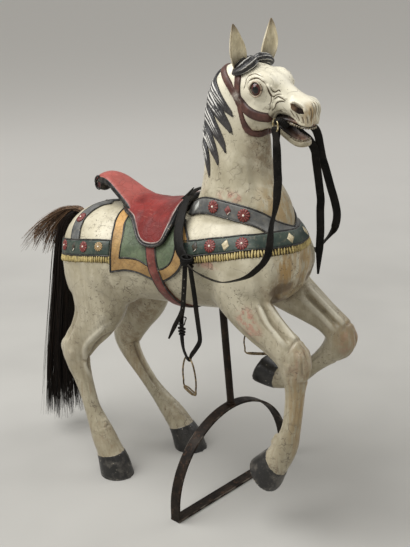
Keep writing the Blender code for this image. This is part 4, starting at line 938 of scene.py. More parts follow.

# %% [markdown]
# ## Aged cream paint
#
# Cream oil paint over gesso goes yellow, gathers dirt in its cuts, and cracks in a fine net. The layers are
# laid in order: the cream with soft mottling, streaked darker low down, partly dirt and partly painted shade,
# and paler on the head as painted light; the warm, pink and brown stains, the brown partly painted shade; the
# net of cracks in patches; the dirt and painted shade in the cuts, with a painted highlight on the ridges.
# The black of the hooves is painted last, up to the coronet's line.

# %% Cream paint
def cream_paint():
    material = finish_named("cream_paint", roughness=0.42, specular=0.45, varnish=(0.12, 0.3))
    spot = where()
    mottle = blotches(spot, 9.0, 0.3, 0.72, 4.0, 0.6)
    cream = over(mottle, (0.360, 0.318, 0.215), (0.590, 0.540, 0.400))
    cloud = blotches(spot, 26.0, 0.42, 0.75, 5.0, 0.65)
    cream = over(times(cloud, 0.42), cream, (0.720, 0.670, 0.520))
    high = parts_of(spot)["Z"]
    streak = grain(where((26, 26, 3.2)), 4.0, 4.0, 0.6)
    # Darker streaks low on the body: partly dirt, partly painted shade, darkest lower down where less light
    # falls.
    low_shade_and_streaks = times(ease(high, 0.70, 0.48, 0.0, 0.85), ease(streak, 0.34, 0.66, 0.28, 0.56))
    cream = over(low_shade_and_streaks, cream, (0.225, 0.178, 0.108))
    # Painted light: the head and the top of the neck painted paler, more so the higher they are.
    cream = over(times(ease(high, 0.96, 1.05), 0.65), cream, (0.900, 0.850, 0.680))
    ochre = times(named("ochre"), ease(streak, 0.38, 0.58))
    cream = over(times(ochre, 0.85, clamp=True), cream, (0.370, 0.235, 0.088))
    rubbed = times(named("pink"), blotches(spot, 60.0, 0.42, 0.60, 5.0, 0.65))
    cream = over(times(rubbed, 0.75), cream, (0.480, 0.190, 0.140))
    brown = times(named("brown"), blotches(spot, 42.0, 0.36, 0.62, 6.0, 0.72))
    cream = over(times(brown, 0.66, clamp=True), cream, (0.235, 0.170, 0.095))
    speck = left_of(ease(cells(spot, 150.0, "F1"), 0.10, 0.30))
    few = times(speck, times(blotches(spot, 30.0, 0.50, 0.66), plus(named("brown"), 0.22)))
    cream = over(times(few, 0.8, clamp=True), cream, (0.120, 0.080, 0.045))
    patchy, broken = blotches(spot, 7.0, 0.40, 0.62, 3.0, 0.6), blotches(spot, 60.0, 0.46, 0.56, 2.0)
    fine = times(times(crack_net(spot, 42.0, 0.020, 58.0, 0.012, 0.060), patchy), broken)
    coarse = times(crack_net(spot, 42.0, 0.020, 19.0, 0.004, 0.016), broken)
    cracked = larger(times(fine, 0.75), times(coarse, 0.45))
    fleck = times(crack_net(spot, 90.0, 0.006, 105.0, 0.03, 0.09), blotches(spot, 130.0, 0.57, 0.62, 2.0))
    fleck = times(fleck, blotches(spot, 9.0, 0.50, 0.60, 4.0, 0.6))
    cracked = larger(cracked, times(fleck, 0.85))
    low_and_high = plus(ease(high, 0.745, 0.690, 0.30, 1.0), ease(high, 0.800, 0.840, 0.0, 0.6), clamp=True)
    cracked = times(cracked, low_and_high)
    lines = ease(grain(where((110, 110, 7)), 1.0, 3.0, 0.6), 0.56, 0.68)
    cream = over(times(lines, ease(high, 0.34, 0.20, 0.0, 0.45)), cream, (0.250, 0.165, 0.095))
    cream = over(cracked, cream, (0.105, 0.078, 0.050))
    # Dirt and painted shade: brown darkening in the cuts, folds and patches kept on the points.
    grime_and_shade = times(ease(named("dirt"), 0.08, 2.2), ease(cloud, 0.0, 1.0, 0.95, 0.55))
    cream = over(times(grime_and_shade, 0.9), cream, (0.130, 0.088, 0.050))
    # Painted highlight: the raised ridges painted paler.
    cream = over(times(ease(named("dirt"), -0.05, -0.7), 0.4), cream, (0.880, 0.840, 0.700))
    edge = plus(named("hoof"), times(minus(grain(spot, 70.0, 2.0), 0.5), 0.006))
    rub = times(blotches(spot, 30.0, 0.44, 0.64, 5.0, 0.7), ease(parts_of(spot)["Y"], 0.02, -0.02, 0.25, 1.0))
    black = over(times(rub, 0.70), (0.014, 0.013, 0.012), (0.120, 0.108, 0.090))
    chip = maths("GREATER_THAN", grain(spot, 120.0, 3.0, 0.7), 0.69)
    black = over(chip, black, (0.34, 0.30, 0.24))
    coat(over(ease(edge, -0.0004, 0.0004), cream, black))
    coat(plus(ease(cloud, 0.0, 1.0, 0.34, 0.50), times(grime_and_shade, 0.3), clamp=True), "Roughness")
    relief(minus(minus(times(cloud, 0.35), cracked), times(few, 0.5)), 0.0009, 0.8)
    return material


CREAM = cream_paint()
settle(body, CREAM, ["horse"])


# %% [markdown]
# ## Bands and cords on the carving
#
# Straps, harness bands and piping all lie on the carved skin, so they are drawn as lines near it and
# dropped on to it. A band keeps two numbers on its points, how far along and how far across it they are,
# and its paint draws outlines and worn edges with them. Several bands of one finish can share one mesh.

# %% Band and cord builder
BAND_SINK = 0.003      # how far a band's underside lies below the skin


class Relief:
    """Rows of points gathered into one mesh, with numbers kept on the points for the paint."""

    def __init__(self):
        self.points, self.faces, self.numbers = [], [], {"along": [], "across": [], "kind": []}

    def rings(self, rings, along=0.0, across=0.0, kind=0.0, closed_run=False):
        """One run of rings, with its ends closed or its last ring joined to its first."""
        start, count = len(self.points), len(rings[0])
        along = along if isinstance(along, list) else [along] * len(rings)
        across = across if isinstance(across, list) else [[across] * count] * len(rings)
        for ring, here, widths in zip(rings, along, across):
            self.points += ring
            self.numbers["along"] += [here] * count
            self.numbers["across"] += list(widths)
            self.numbers["kind"] += [kind] * count
        self.faces += between(len(rings) - (not closed_run), count, start, len(rings))
        if not closed_run:
            self.faces.append(tuple(range(start, start + count))[::-1])
            end = start + (len(rings) - 1) * count
            self.faces.append(tuple(range(end, end + count)))

    def made(self, name, level=0):
        obj = new_piece(name, self.points, self.faces)
        remember(obj, **self.numbers)
        outwards(obj, merged=False)
        if level:
            rounder = obj.modifiers.new("rounder", "SUBSURF")
            rounder.levels = rounder.render_levels = level
            applied(obj)
        return obj


def dropped(skin, points, steps):
    """A drawn line made smooth and dropped on to the surface, with the surface's facing at each point."""
    rows = [skin.find_nearest(Vector(row))[:2] for row in through(points, steps)]
    return [row[0] for row in rows], [row[1] for row in rows]


def lay_band(made, skin, points, width, height, steps=6, columns=8, crown=0.0, kind=0.0, taper=None):
    """A flat band with rounded shoulders along a line; the paint knows its middle and its edges."""
    spots, facings = dropped(skin, points, steps)
    rings, widths = [], []
    for i, (spot, facing) in enumerate(zip(spots, facings)):
        ahead = ahead_at(spots, i)
        side = facing.cross(ahead).normalized()
        wide = width * (taper(i / (len(spots) - 1)) if taper else 1.0)
        outer, inner, across = [], [], []
        for j in range(columns + 1):
            t = 2 * j / columns - 1
            t = math.copysign(abs(t) ** 0.8, t)
            place, up = skin.find_nearest(spot + side * (wide / 2 * t))[:2]
            up = (up + facing).normalized()
            edge = 0.35 if j in (0, columns) else 1.0
            outer.append(place + up * (height * edge + crown * (1 - t * t)))
            inner.append(place - up * BAND_SINK)
            across.append(wide / 2 * t)
        rings.append(outer + inner[::-1])
        widths.append(across + across[::-1])
    made.rings(rings, travelled(spots), widths, kind)


def lay_cord(made, skin, points, radius, lift=0.0, steps=6, sides=8, kind=0.0, closed=False, taper=None):
    """A round cord or welt that lies on the surface, its middle this far above it."""
    if skin is None:
        spots = [Vector(row) for row in through(points, steps)]
        facings = [Vector((0, 0, 1))] * len(spots)
    else:
        spots, facings = dropped(skin, points, steps)
    if closed:
        spots, facings = spots[:-1], facings[:-1]
    count = len(spots)
    rings = []
    for i, (spot, facing) in enumerate(zip(spots, facings)):
        ahead = ahead_at(spots, i, closed)
        side = facing.cross(ahead).normalized()
        up = ahead.cross(side)
        thick = radius * (taper(i / (count - 1)) if taper else 1.0)
        centre = spot + up * lift
        round_ring = [(thick * math.cos(a), thick * math.sin(a)) for a in turns(sides)]
        rings.append([centre + side * u + up * v for u, v in round_ring])
    across = [[radius * math.cos(a) for a in turns(sides)]] * count
    made.rings(rings, travelled(spots), across, kind, closed_run=closed)


# %% [markdown]
# ## One tree for everything in a row
#
# Teeth, fringe, rosettes and strap holes are all the same idea: a small item set again and again along a
# line that knows which way it faces. One Geometry Nodes tree does it. It takes the line as edges,
# resamples it to a spacing, puts the item on each point with its Z along the facing and its X along the
# line, makes the copies real and gives them a finish.

# %% The row tree
ROW_INPUTS = {"Item": "Object", "Spacing": "Float", "Least size": "Float", "Most size": "Float",
              "Lean": "Float", "Seed": "Int", "Finish": "Material"}


def row_tree(resample):
    tree = bpy.data.node_groups.new("row_of_items" if resample else "items_at_points", "GeometryNodeTree")
    tree.interface.new_socket("Geometry", in_out="OUTPUT", socket_type="NodeSocketGeometry")
    for label, kind in {"Line": "Geometry", **ROW_INPUTS}.items():
        tree.interface.new_socket(label, in_out="INPUT", socket_type="NodeSocket" + kind)
    given = add_node(tree, "NodeGroupInput").outputs

    def add(kind, inputs, output=0, **settings):
        return add_node(tree, kind, inputs, **settings).outputs[output]

    def kept(label):
        return add("GeometryNodeInputNamedAttribute", {"Name": label}, "Attribute", data_type="FLOAT_VECTOR")

    line = given["Line"]
    if resample:
        line = add("GeometryNodeMeshToCurve", {"Mesh": line})
        line = add("GeometryNodeResampleCurve", {"Curve": line, "Length": given["Spacing"]}, mode="LENGTH")
    up = add("FunctionNodeAlignRotationToVector", {"Vector": kept("facing")}, axis="Z")
    both_ways = {"Rotation": up, "Vector": kept("heading")}
    ahead = add("FunctionNodeAlignRotationToVector", both_ways, axis="X", pivot_axis="Z")
    backwards = add("ShaderNodeMath", {0: given["Lean"], 1: -1.0}, operation="MULTIPLY")
    least = add("ShaderNodeCombineXYZ", {"X": backwards, "Z": backwards})
    most = add("ShaderNodeCombineXYZ", {"X": given["Lean"], "Z": given["Lean"]})
    lean_range = {"Min": least, "Max": most, "Seed": given["Seed"]}
    lean = add("FunctionNodeRandomValue", lean_range, data_type="FLOAT_VECTOR")
    size_range = {2: given["Least size"], 3: given["Most size"], "Seed": given["Seed"]}
    size = add("FunctionNodeRandomValue", size_range, 1)
    turned = add("FunctionNodeRotateRotation", {"Rotation": ahead, "Rotate By": lean}, rotation_space="LOCAL")
    item = add("GeometryNodeObjectInfo", {"Object": given["Item"]}, "Geometry")
    places = {"Points": line, "Instance": item, "Rotation": turned, "Scale": size}
    copies = add("GeometryNodeInstanceOnPoints", places)
    real = add("GeometryNodeRealizeInstances", {0: copies})
    painted = add("GeometryNodeSetMaterial", {"Geometry": real, "Material": given["Finish"]})
    add_node(tree, "NodeGroupOutput", {0: painted})
    return tree


ROWS = row_tree(True)
POINTS = row_tree(False)


def in_a_row(name, spots, facings, item, paint,
             spacing=None, sizes=(1.0, 1.0), lean=0.0, seed=1, headings=None):
    """The item set along a line, or at its points where no spacing is given. The item object is used up."""
    count = len(spots)
    data = bpy.data.meshes.new(name)
    data.from_pydata([tuple(s) for s in spots], [(i, i + 1) for i in range(count - 1)] if spacing else [], [])
    if headings is None:
        headings = [ahead_at(spots, i) for i in range(count)]
    for label, values in (("facing", facings), ("heading", headings)):
        layer = data.attributes.new(label, "FLOAT_VECTOR", "POINT")
        layer.data.foreach_set("vector", [number for value in values for number in value])
    obj = shown(name, data)
    nodes = obj.modifiers.new("row", "NODES")
    nodes.node_group = ROWS if spacing else POINTS
    given = dict(zip(ROW_INPUTS, (item, spacing or 1.0, *sizes, lean, seed, paint)))
    for socket in nodes.node_group.interface.items_tree:
        if socket.in_out == "INPUT" and socket.name in given:
            nodes[socket.identifier] = given[socket.name]
    return applied(obj)


def gone(*objects):
    for obj in objects:
        bpy.data.objects.remove(obj)


# %% [markdown]
# ## Eyes
#
# Glass eyes are half balls painted behind: a black pupil, a dark red-brown ring and a darker rim, under a
# clear bulge. The lids are thin carved welts round them, darker and browner on the side that meets the eye.

# %% Glass eyes
EYE = (0.124, 0.054, 1.081)
EYE_RADIUS, EYE_HALF_HEIGHT, CLEAR_BULGE = 0.015, 0.018, 0.0085
glass = finish_named("eye_glass", roughness=0.12, varnish=(0.15, 0.08))
spot = where()
from_middle = distance(where((1, 0, 0.84)), (EYE[0] + 0.002, 0, EYE[2] * 0.84 - 0.001))
iris = over(blotches(spot, 420.0, 0.35, 0.65), (0.028, 0.005, 0.004), (0.1, 0.014, 0.009))
ringed = over(ease(from_middle, 0.0066, 0.0074), (0.001, 0.001, 0.001), iris)
ringed = over(ease(from_middle, 0.01, 0.0118), ringed, (0.012, 0.003, 0.002))
coat(ringed)
for side, word in BOTH_SIDES:
    middle_point = (EYE[0], (EYE[1] - 0.001) * side, EYE[2])
    ball = lump(f"glass_eye_{word}", middle_point, (EYE_RADIUS, EYE_RADIUS, EYE_HALF_HEIGHT), segments=40)
    for vert in ball.data.vertices:
        off_axis = math.hypot(vert.co.x - EYE[0], vert.co.z - EYE[2])
        if off_axis < CLEAR_BULGE and vert.co.y * side > EYE[1]:
            vert.co.y += side * 0.0009 * (1 - (off_axis / CLEAR_BULGE) ** 2)
    settle(ball, glass, [f"eye_{word}"])

# %% Lids
lids = Relief()
for side in (1, -1):
    rim = []
    for a in (*turns(24), 2 * math.pi):
        back, front = max(0.0, math.cos(a - math.radians(-155))), max(0.0, math.cos(a + 0.3))
        stretch = 1.0 + 0.22 * back**3 + 0.12 * front**3
        x, z = math.cos(a) * 0.0132 * stretch, math.sin(a) * 0.0168
        out = 0.0098 - 0.0024 * max(0.0, math.cos(a)) - 0.0016 * max(0.0, -math.cos(a))
        rim.append((EYE[0] + x, side * (EYE[1] + out), EYE[2] + z))
    lay_cord(lids, None, rim, 0.0021, steps=2, sides=10, closed=True, kind=1.0)
upper = lids.made("eyelids")
inward = [2.6 if math.hypot(v.co.x - EYE[0], v.co.z - EYE[2]) < 0.0148 else 0.7 for v in upper.data.vertices]
remember(upper, dirt=inward, hoof=-0.1, brown=0.9, pink=0.6)
settle(upper, CREAM)

# %% [markdown]
# ## Ears
#
# A carved ear is a leaf cupped to the front. Each is built from cup-shaped sections, the inside a little
# smaller than the outside, from a broad foot to a thin point, and leans slightly out. The hollow is a dull
# olive tan.

# %% Ears
EAR = mm([  # x, y, z of the middle, half width, depth of the cup
    (73, 38, 1112, 13, 12), (74, 42, 1120, 15, 13), (76, 48, 1132, 17, 14), (78, 54, 1152, 20, 14),
    (79, 59, 1172, 18.5, 12), (78, 63, 1190, 13.5, 11), (77, 66, 1206, 8, 7), (75.5, 68, 1217, 2.8, 3),
    (75, 68.5, 1219.5, 1, 1.2),
])
EAR_TURN = {1: math.radians(-30), -1: math.radians(34)}
EAR_SHIFT = {1: (0.007, 0.003), -1: (-0.004, 0.0)}
EAR_WALL = 0.0032


def ear_mesh(side):
    rows = through(EAR, 5)
    shell = Relief()
    rings, widths, alongs = [], [], []
    front = Vector((math.cos(EAR_TURN[side]), math.sin(EAR_TURN[side]) * side, 0.0))
    wide_way = Vector((-front.y, front.x, 0.0))
    for i, (x, y, z, wide, deep) in enumerate(rows):
        middle_point = Vector((x + EAR_SHIFT[side][0], (y + EAR_SHIFT[side][1]) * side, z))
        wall = min(EAR_WALL, wide * 0.5)
        outer, inner = [], []
        for k in range(17):
            a = math.radians(-104 + 208 * k / 16)
            back = deep * math.cos(a) - deep * 0.1
            outer.append(middle_point + wide_way * (wide * math.sin(a)) - front * back)
        hollow = 0.25 + 0.75 * min(1.0, i / 12)
        for k in range(17):
            a = math.radians(98 - 196 * k / 16)
            back = (deep - wall) * math.cos(a) * hollow - deep * 0.18
            inner.append(middle_point + wide_way * ((wide - wall * 0.55) * math.sin(a)) - front * back)
        rings.append(outer + inner)
        widths.append([0.0] * 17 + [1.0] * 17)
        alongs.append(z)
    shell.rings(rings, alongs, widths)
    return shell.made("ear", 1)


ear_paint = finish_named("ear_paint", roughness=0.5, specular=0.4)
spot = where()
outside = over(blotches(spot, 40.0, 0.35, 0.7, 4.0, 0.6), (0.46, 0.395, 0.27), (0.64, 0.58, 0.44))
inside = over(blotches(where((1, 1, 0.3)), 120.0, 0.35, 0.7, 4.0, 0.6),
              (0.56, 0.49, 0.33), (0.8, 0.72, 0.52))
hollow = ease(named("across"), 0.55, 0.95)
colour = over(hollow, outside, inside)
high = parts_of(spot)["Z"]
# Painted shade: the hollow goes near black low down, where it meets the head.
colour = over(times(hollow, ease(high, 1.165, 1.11)), colour, (0.055, 0.038, 0.022))
colour = over(times(ease(high, 1.196, 1.216), 0.75), colour, (0.15, 0.1, 0.055))
stain = blotches(spot, 90.0, 0.52, 0.68, 5.0, 0.7)
colour = over(times(stain, 0.3), colour, (0.13, 0.09, 0.05))
coat(colour)
relief(grain(where((1, 1, 0.25)), 150.0, 3.0), 0.0008, 0.7)
ears = joined("ears", [ear_mesh(1), ear_mesh(-1)])
settle(ears, ear_paint)

# %% [markdown]
# ## Mouth
#
# Behind the lips are a palate and a worn tan tongue, painted near black towards the back of the mouth as
# painted shade, and one row of small square teeth follows the upper lip. The teeth are set by the row tree,
# each a little block with rounded corners.

# %% Tongue and palate
mouth_paint = finish_named("mouth_paint", roughness=0.45, specular=0.5)
spot = where()
front = ease(parts_of(spot)["X"], 0.178, 0.222)
flesh = over(blotches(spot, 130.0, 0.38, 0.66, 4.0, 0.65), (0.15, 0.08, 0.055), (0.4, 0.25, 0.175))
# Painted shade: near black towards the back of the mouth, tan flesh at the front.
coat(over(front, (0.012, 0.007, 0.005), flesh))
relief(grain(spot, 160.0, 3.0), 0.0008, 0.8)
MOUTH = {  # stations of the two smooth forms behind the lips
    "tongue": mm([
        (150, 0, 996, 13, 24), (172, 0, 986, 10, 22), (190, 0, 975, 8.5, 19), (204, 0, 969, 6.8, 16),
        (215, 0, 967, 4.8, 12), (221, 0, 966, 2.4, 7),
    ]),
    "palate": mm([
        (150, 0, 1008, 12, 26), (175, 0, 1012, 10, 30), (200, 0, 1010, 8, 28), (220, 0, 1004, 6, 23),
        (235, 0, 1000, 3, 12),
    ]),
}
for name, stations in MOUTH.items():
    settle(tube(name, stations, 24, 4), mouth_paint)

# %% Teeth
tooth_paint = finish_named("tooth_paint", roughness=0.4, specular=0.5)
shade = blotches(where(), 260.0, 0.4, 0.62, 4.0, 0.65)
coat(over(shade, (0.11, 0.08, 0.048), (0.42, 0.37, 0.27)))
tooth = lump("tooth", (0, 0, 0), (0.0026, 0.0034, 0.0022), segments=6)
for vert in tooth.data.vertices:
    vert.co.y = math.copysign(min(abs(vert.co.y), 0.0027), vert.co.y)
TOOTH_SPACING, TOOTH_HEART = 0.0052, 0.190      # the teeth face away from this x on the middle line
TOOTH_ROWS = [  # name, right half of the row, sizes, lean, seed
    ("upper_teeth", mm([
        (186, -34.5, 1008.5), (200, -32.5, 1004.5), (215, -28.5, 1000), (227, -21.5, 996.5),
        (236, -11, 995), (238.5, 0, 994.5),
    ]), (0.85, 1.1), 0.08, 3),
    ("lower_teeth", mm([
        (192, -23.5, 973.5), (206, -21.5, 968.5), (217.5, -16, 967), (223.5, -8, 968.5), (225, 0, 969),
    ]), (0.65, 0.9), 0.12, 5),
]
teeth = []
for name, half_row, sizes, lean, seed in TOOTH_ROWS:
    row = [Vector(p) for p in through(both_halves(half_row), 6)]
    aim = [(p - Vector((TOOTH_HEART, 0, p.z))).normalized() for p in row]
    teeth.append(in_a_row(name, row, aim, tooth, tooth_paint, TOOTH_SPACING, sizes, lean, seed))
gone(tooth)
settle(joined("teeth", teeth), tooth_paint)


# %% [markdown]
# ## Mane and forelock
#
# The mane is carved as five big pointed locks that fall from the crest to the right, each over the one
# below. The carver cut hair grooves down each lock, and the painter dragged thin silver lines along some of
# the ridges. Each lock is a bundle of strands that start side by side on the crest and close to a point. A
# strand keeps a number that is high on its ridge, which is where the silver goes.

# %% Locks
hair = Relief()
LOCK_LINES = mm([
    [(-26, 12, 1084), (-17, -20, 1075), (-2, -43, 1064), (14, -48, 1051), (32, -50, 1034), (47, -50, 1020),
      (57, -49, 1008)],
    [(-36, 12, 1062), (-28, -22, 1052), (-9, -48, 1040), (9, -56, 1025), (27, -57, 1006), (44, -53, 986),
      (57, -52, 964)],
    [(-48, 12, 1020), (-38, -22, 1012), (-20, -50, 1000), (-4, -56, 985), (13, -56, 967), (29, -57, 946),
      (41, -57, 921)],
    [(-55, 12, 980), (-46, -22, 972), (-30, -50, 962), (-14, -57, 946), (0, -57, 928), (11, -58, 911),
      (19, -58, 891)],
    [(-60, 10, 942), (-52, -22, 934), (-40, -46, 922), (-31, -52, 908), (-23, -54, 892), (-16, -54, 876),
      (-11, -54, 857)],
])
LOCK_SPREADS, STRANDS = mm([16.5, 22.5, 22.5, 21.5, 17.5]), 9
picker = np.random.default_rng(4)


def lay_strand(path, thick, silver, lift=0.3, sides=8):
    """One round strand on the skin: (point, thickness) rows, its ridge known to the paint."""
    rings, alongs, spots = [], [], [spot for spot, _ in path]
    for i, (spot, wide) in enumerate(path):
        ahead = ahead_at(spots, i)
        up = skin_tree.find_nearest(spot)[1]
        side = up.cross(ahead).normalized()
        up = ahead.cross(side)
        centre = spot + up * (lift * thick * wide)
        outs = [side * math.cos(a) + up * math.sin(a) for a in turns(sides)]
        rings.append([centre + out * (thick * wide) for out in outs])
        alongs.append(i / (len(path) - 1))
    hair.rings(rings, alongs, [[math.sin(a) for a in turns(sides)]] * len(rings), kind=silver)


for number, line in enumerate(LOCK_LINES):
    rows = [Vector(p) for p in through(line, 4)]
    last = len(rows) - 1
    for k in range(STRANDS):
        u = 2 * k / (STRANDS - 1) - 1
        path = []
        for i, row in enumerate(rows):
            s = i / last
            ahead = ahead_at(rows, i)
            up = rough.find_nearest(row)[1]
            side = up.cross(ahead).normalized()
            spread = LOCK_SPREADS[number] * (1 - s) ** 0.75
            wave = 0.0022 * math.sin(2.2 * math.pi * s + number + 0.8 * k)
            place = skin_tree.find_nearest(row + side * (u * spread + wave * (1 - s)))[0]
            path.append((place + up * (0.0022 * (1 - u * u)), max(0.16, (1 - s * s) ** 0.8)))
        cut = int(len(path) * (1.0 - 0.04 * abs(u) - 0.05 * picker.random()))
        silver = 1.0 if (k % 2 == 0 and abs(u) < 0.8) or picker.random() < 0.12 else 0.0
        lay_strand(path[:max(cut, 6)], 0.0042, silver * picker.uniform(0.7, 1.0))


def lay_roll(stations, grooves, silver=1.0, sides=40, cut=0.16, steps=5):
    """A thick rolled lock through (point, half thickness, half width) stations, with grooves along it."""
    rows = through([(*point, thick, wide) for point, thick, wide in stations], steps)
    twists = [0.9 * math.sin(3.0 * i / len(rows)) for i in range(len(rows))]
    rings, alongs = [], []
    for i, row in enumerate(rows):
        here = Vector(row[:3])
        ahead = ahead_at(rows, i)
        up = rough.find_nearest(here)[1]
        side = up.cross(ahead).normalized()
        up = ahead.cross(side)
        ring = []
        for a in turns(sides):
            deep = 1 - cut * (0.5 - 0.5 * math.cos(grooves * (a + twists[i])))
            ring.append(here + side * (row[4] * math.cos(a) * deep) + up * (row[3] * math.sin(a) * deep))
        rings.append(ring)
        alongs.append(i / (len(rows) - 1))
    across = [[math.cos(grooves * (a + twist)) for a in turns(sides)] for twist in twists]
    hair.rings(rings, alongs, across, kind=silver)


CREST = mm([
    ((48, 0, 1122), 7, 9), ((14, 0, 1112), 9, 11), ((-14, 0, 1090), 10, 13), ((-34, 0, 1045), 10, 15),
    ((-45, 0, 995), 10, 15), ((-53, 0, 945), 9, 13), ((-59, 0, 912), 5, 7), ((-62, 0, 898), 1, 2),
])
lay_roll(CREST, 10, 0.0)
FORELOCKS = mm([
    [((62, 6, 1128), 8, 9), ((78, -6, 1131), 11, 12), ((86, -24, 1132), 17, 20), ((80, -36, 1126), 18, 21),
      ((70, -45, 1117), 14, 17), ((61, -50, 1111), 8, 10), ((55, -52, 1108), 1.2, 2)],
    [((70, 6, 1132), 6, 7), ((84, 18, 1137), 12, 13), ((92, 34, 1134), 12, 13), ((94, 50, 1126), 9, 9),
      ((88, 59, 1117), 3, 4)],
])
for stations in FORELOCKS:
    lay_roll(stations, 9)
print("mane and forelock:", len(hair.faces), "faces")

# %% Black hair with silver lines
mane_paint = finish_named("mane_paint", roughness=0.36, specular=0.5)
spot = where()
ridge = ease(named("across"), 0.5, 0.86)
span = times(ease(named("along"), 0.05, 0.14), ease(named("along"), 0.74, 0.52))
broken = blotches(spot, 55.0, 0.36, 0.52, 3.0, 0.6)
silver = times(times(ridge, span), times(broken, named("kind")))
shade = blotches(spot, 180.0, 0.35, 0.65)
dark = over(shade, (0.009, 0.009, 0.01), (0.034, 0.032, 0.033))
faded = ease(named("along"), 0.55, 1.0)
dark = over(times(faded, 0.6), dark, (0.08, 0.072, 0.066))
coat(over(times(silver, 0.92), dark, (0.78, 0.76, 0.7)))
relief(shade, 0.0005, 0.6)
settle(hair.made("mane"), mane_paint)


# %% [markdown]
# ## Bridle
#
# The bridle is carved in relief and painted maroon: a headstall behind the ears, a cheek strap, a throat
# latch and a cheekpiece that runs to the bit ring. It is rubbed grey where the straps cross.

# %% Bridle straps
HEADSTALL = mm([
    (46, 0, 1128), (52, -22, 1124), (62, -38, 1113), (70, -50, 1094), (71, -54, 1072), (69, -53, 1056),
])
THROAT_LATCH = mm([
    (4, 0, 1121), (10, -18, 1116), (22, -33, 1104), (45, -45, 1080), (63, -48, 1055), (74, -48, 1025),
    (81, -45, 1000), (87, -36, 984), (90, -14, 976), (90, 0, 975),
])
CHEEKPIECE = mm([
    (68, -52, 1064), (76, -52, 1048), (92, -52, 1033), (114, -53, 1022), (137, -47, 1016), (160, -40, 1012),
])
bridle = Relief()
lay_band(bridle, skin_tree, both_halves(HEADSTALL), 0.021, 0.0032, 5, 6, crown=0.0008)
lay_band(bridle, skin_tree, both_halves(THROAT_LATCH), 0.0175, 0.0038, 5, 6, crown=0.0008, kind=0.3)
for rows in (CHEEKPIECE, mirrored(CHEEKPIECE)):
    lay_band(bridle, skin_tree, rows, 0.0235, 0.0046, 5, 6, crown=0.001, kind=0.6)
maroon = finish_named("maroon_paint", roughness=0.45, specular=0.45)
spot = where()
mottle = blotches(spot, 60.0, 0.35, 0.7, 4.0, 0.6)
colour = over(mottle, (0.055, 0.02, 0.014), (0.118, 0.048, 0.034))
rub = times(ease(distance(spot, (0.069, -0.055, 1.058)), 0.022, 0.006), ease(mottle, 0.1, 0.8))
colour = over(times(rub, 0.8), colour, (0.33, 0.3, 0.26))
edge = ease(maths("ABSOLUTE", named("across")), 0.008, 0.0105)
colour = over(times(edge, 0.75), colour, (0.02, 0.01, 0.008))
coat(colour)
relief(grain(spot, 110.0, 4.0), 0.0006, 0.7)
settle(bridle.made("bridle"), maroon)

# %% Painted shadow along the face's veins, and painted shade in the nostril
def thin_ends(t):
    return 0.2 + 0.8 * math.sin(math.pi * t) ** 0.5


def leaf_ends(t):
    return max(0.06, math.sin(math.pi * t) ** 0.7)


# Thin dark cords in the grooves below the raised veins are painted shadow.
lines = Relief()
for line in FACE_LINES:
    for path in (line, mirrored(line)):
        lay_cord(lines, skin_tree, path, 0.0011, -0.0001, 5, 6, taper=thin_ends)
NOSTRIL = mm([(197, -36, 1051), (205, -37, 1046), (214, -37, 1041), (223, -35, 1036), (230, -32, 1031)])
for path in (NOSTRIL, mirrored(NOSTRIL)):
    lay_band(lines, skin_tree, path, 0.0165, 0.0005, 6, 8, taper=leaf_ends, kind=1.0)
shadow_glaze = finish_named("umber_shadow_glaze", roughness=0.9, specular=0.1)
spot = where()
shade = blotches(spot, 140.0, 0.35, 0.68)
glaze = over(shade, (0.045, 0.028, 0.017), (0.12, 0.08, 0.048))
# Painted shade in the nostril: brown at its back end, near black further forward.
deep = over(ease(parts_of(spot)["X"], 0.202, 0.216), (0.13, 0.085, 0.05), (0.016, 0.01, 0.007))
coat(over(named("kind"), glaze, deep))
settle(lines.made("face_lines"), shadow_glaze)


# %% [markdown]
# ## Saddle
#
# The saddle is part of the carving: a dished seat with short rounded flaps, and behind it a tongue that
# sweeps up and ends in a scroll. The seat is drawn across the back, section by section, with a soft dip
# behind the pommel. Its face keeps how far each point is from the edge, so that the paint can lay the black
# border and the thin pale line inside it.

# %% Seat and flaps
SEAT = [(*mm(places), power) for *places, power in (  # x, top z, edge y, edge z, roundness
    (-300, 762, 30, 755, 2), (-284, 770, 48, 750, 2), (-263, 774, 68, 746, 2.2), (-234, 770, 85, 741, 2.3),
    (-215, 769, 100, 731, 2.5), (-198, 769, 114, 716, 2.6), (-184, 771, 125, 705, 2.7),
    (-170, 773, 132, 698, 2.8), (-153, 776, 136, 694, 2.8), (-131, 783, 137, 695, 2.8),
    (-112, 792, 135, 701, 2.7), (-101, 797, 131, 712, 2.6), (-96, 798, 122, 727, 2.4),
    (-92, 797, 104, 748, 2.2),
)]
TONGUE = mm([  # x, y, z, half thickness, half width
    (-225, 0, 728, 18, 80), (-245, 0, 742, 16, 71), (-262, 0, 753, 15, 63), (-290, 0, 768, 14, 52),
    (-318, 0, 785, 14, 45), (-345, 0, 800, 14, 38), (-368, 0, 803, 17, 31), (-384, 0, 800, 16, 27),
    (-391, 0, 788, 15, 25), (-387, 0, 778, 10, 20),
])
seat = Relief()
rows = through(SEAT, 10)
COLUMNS, REACHED_BY_TONGUE = 72, -0.268
rings, widths = [], []
ends = [Vector((row[0], row[2], row[3])) for row in rows]
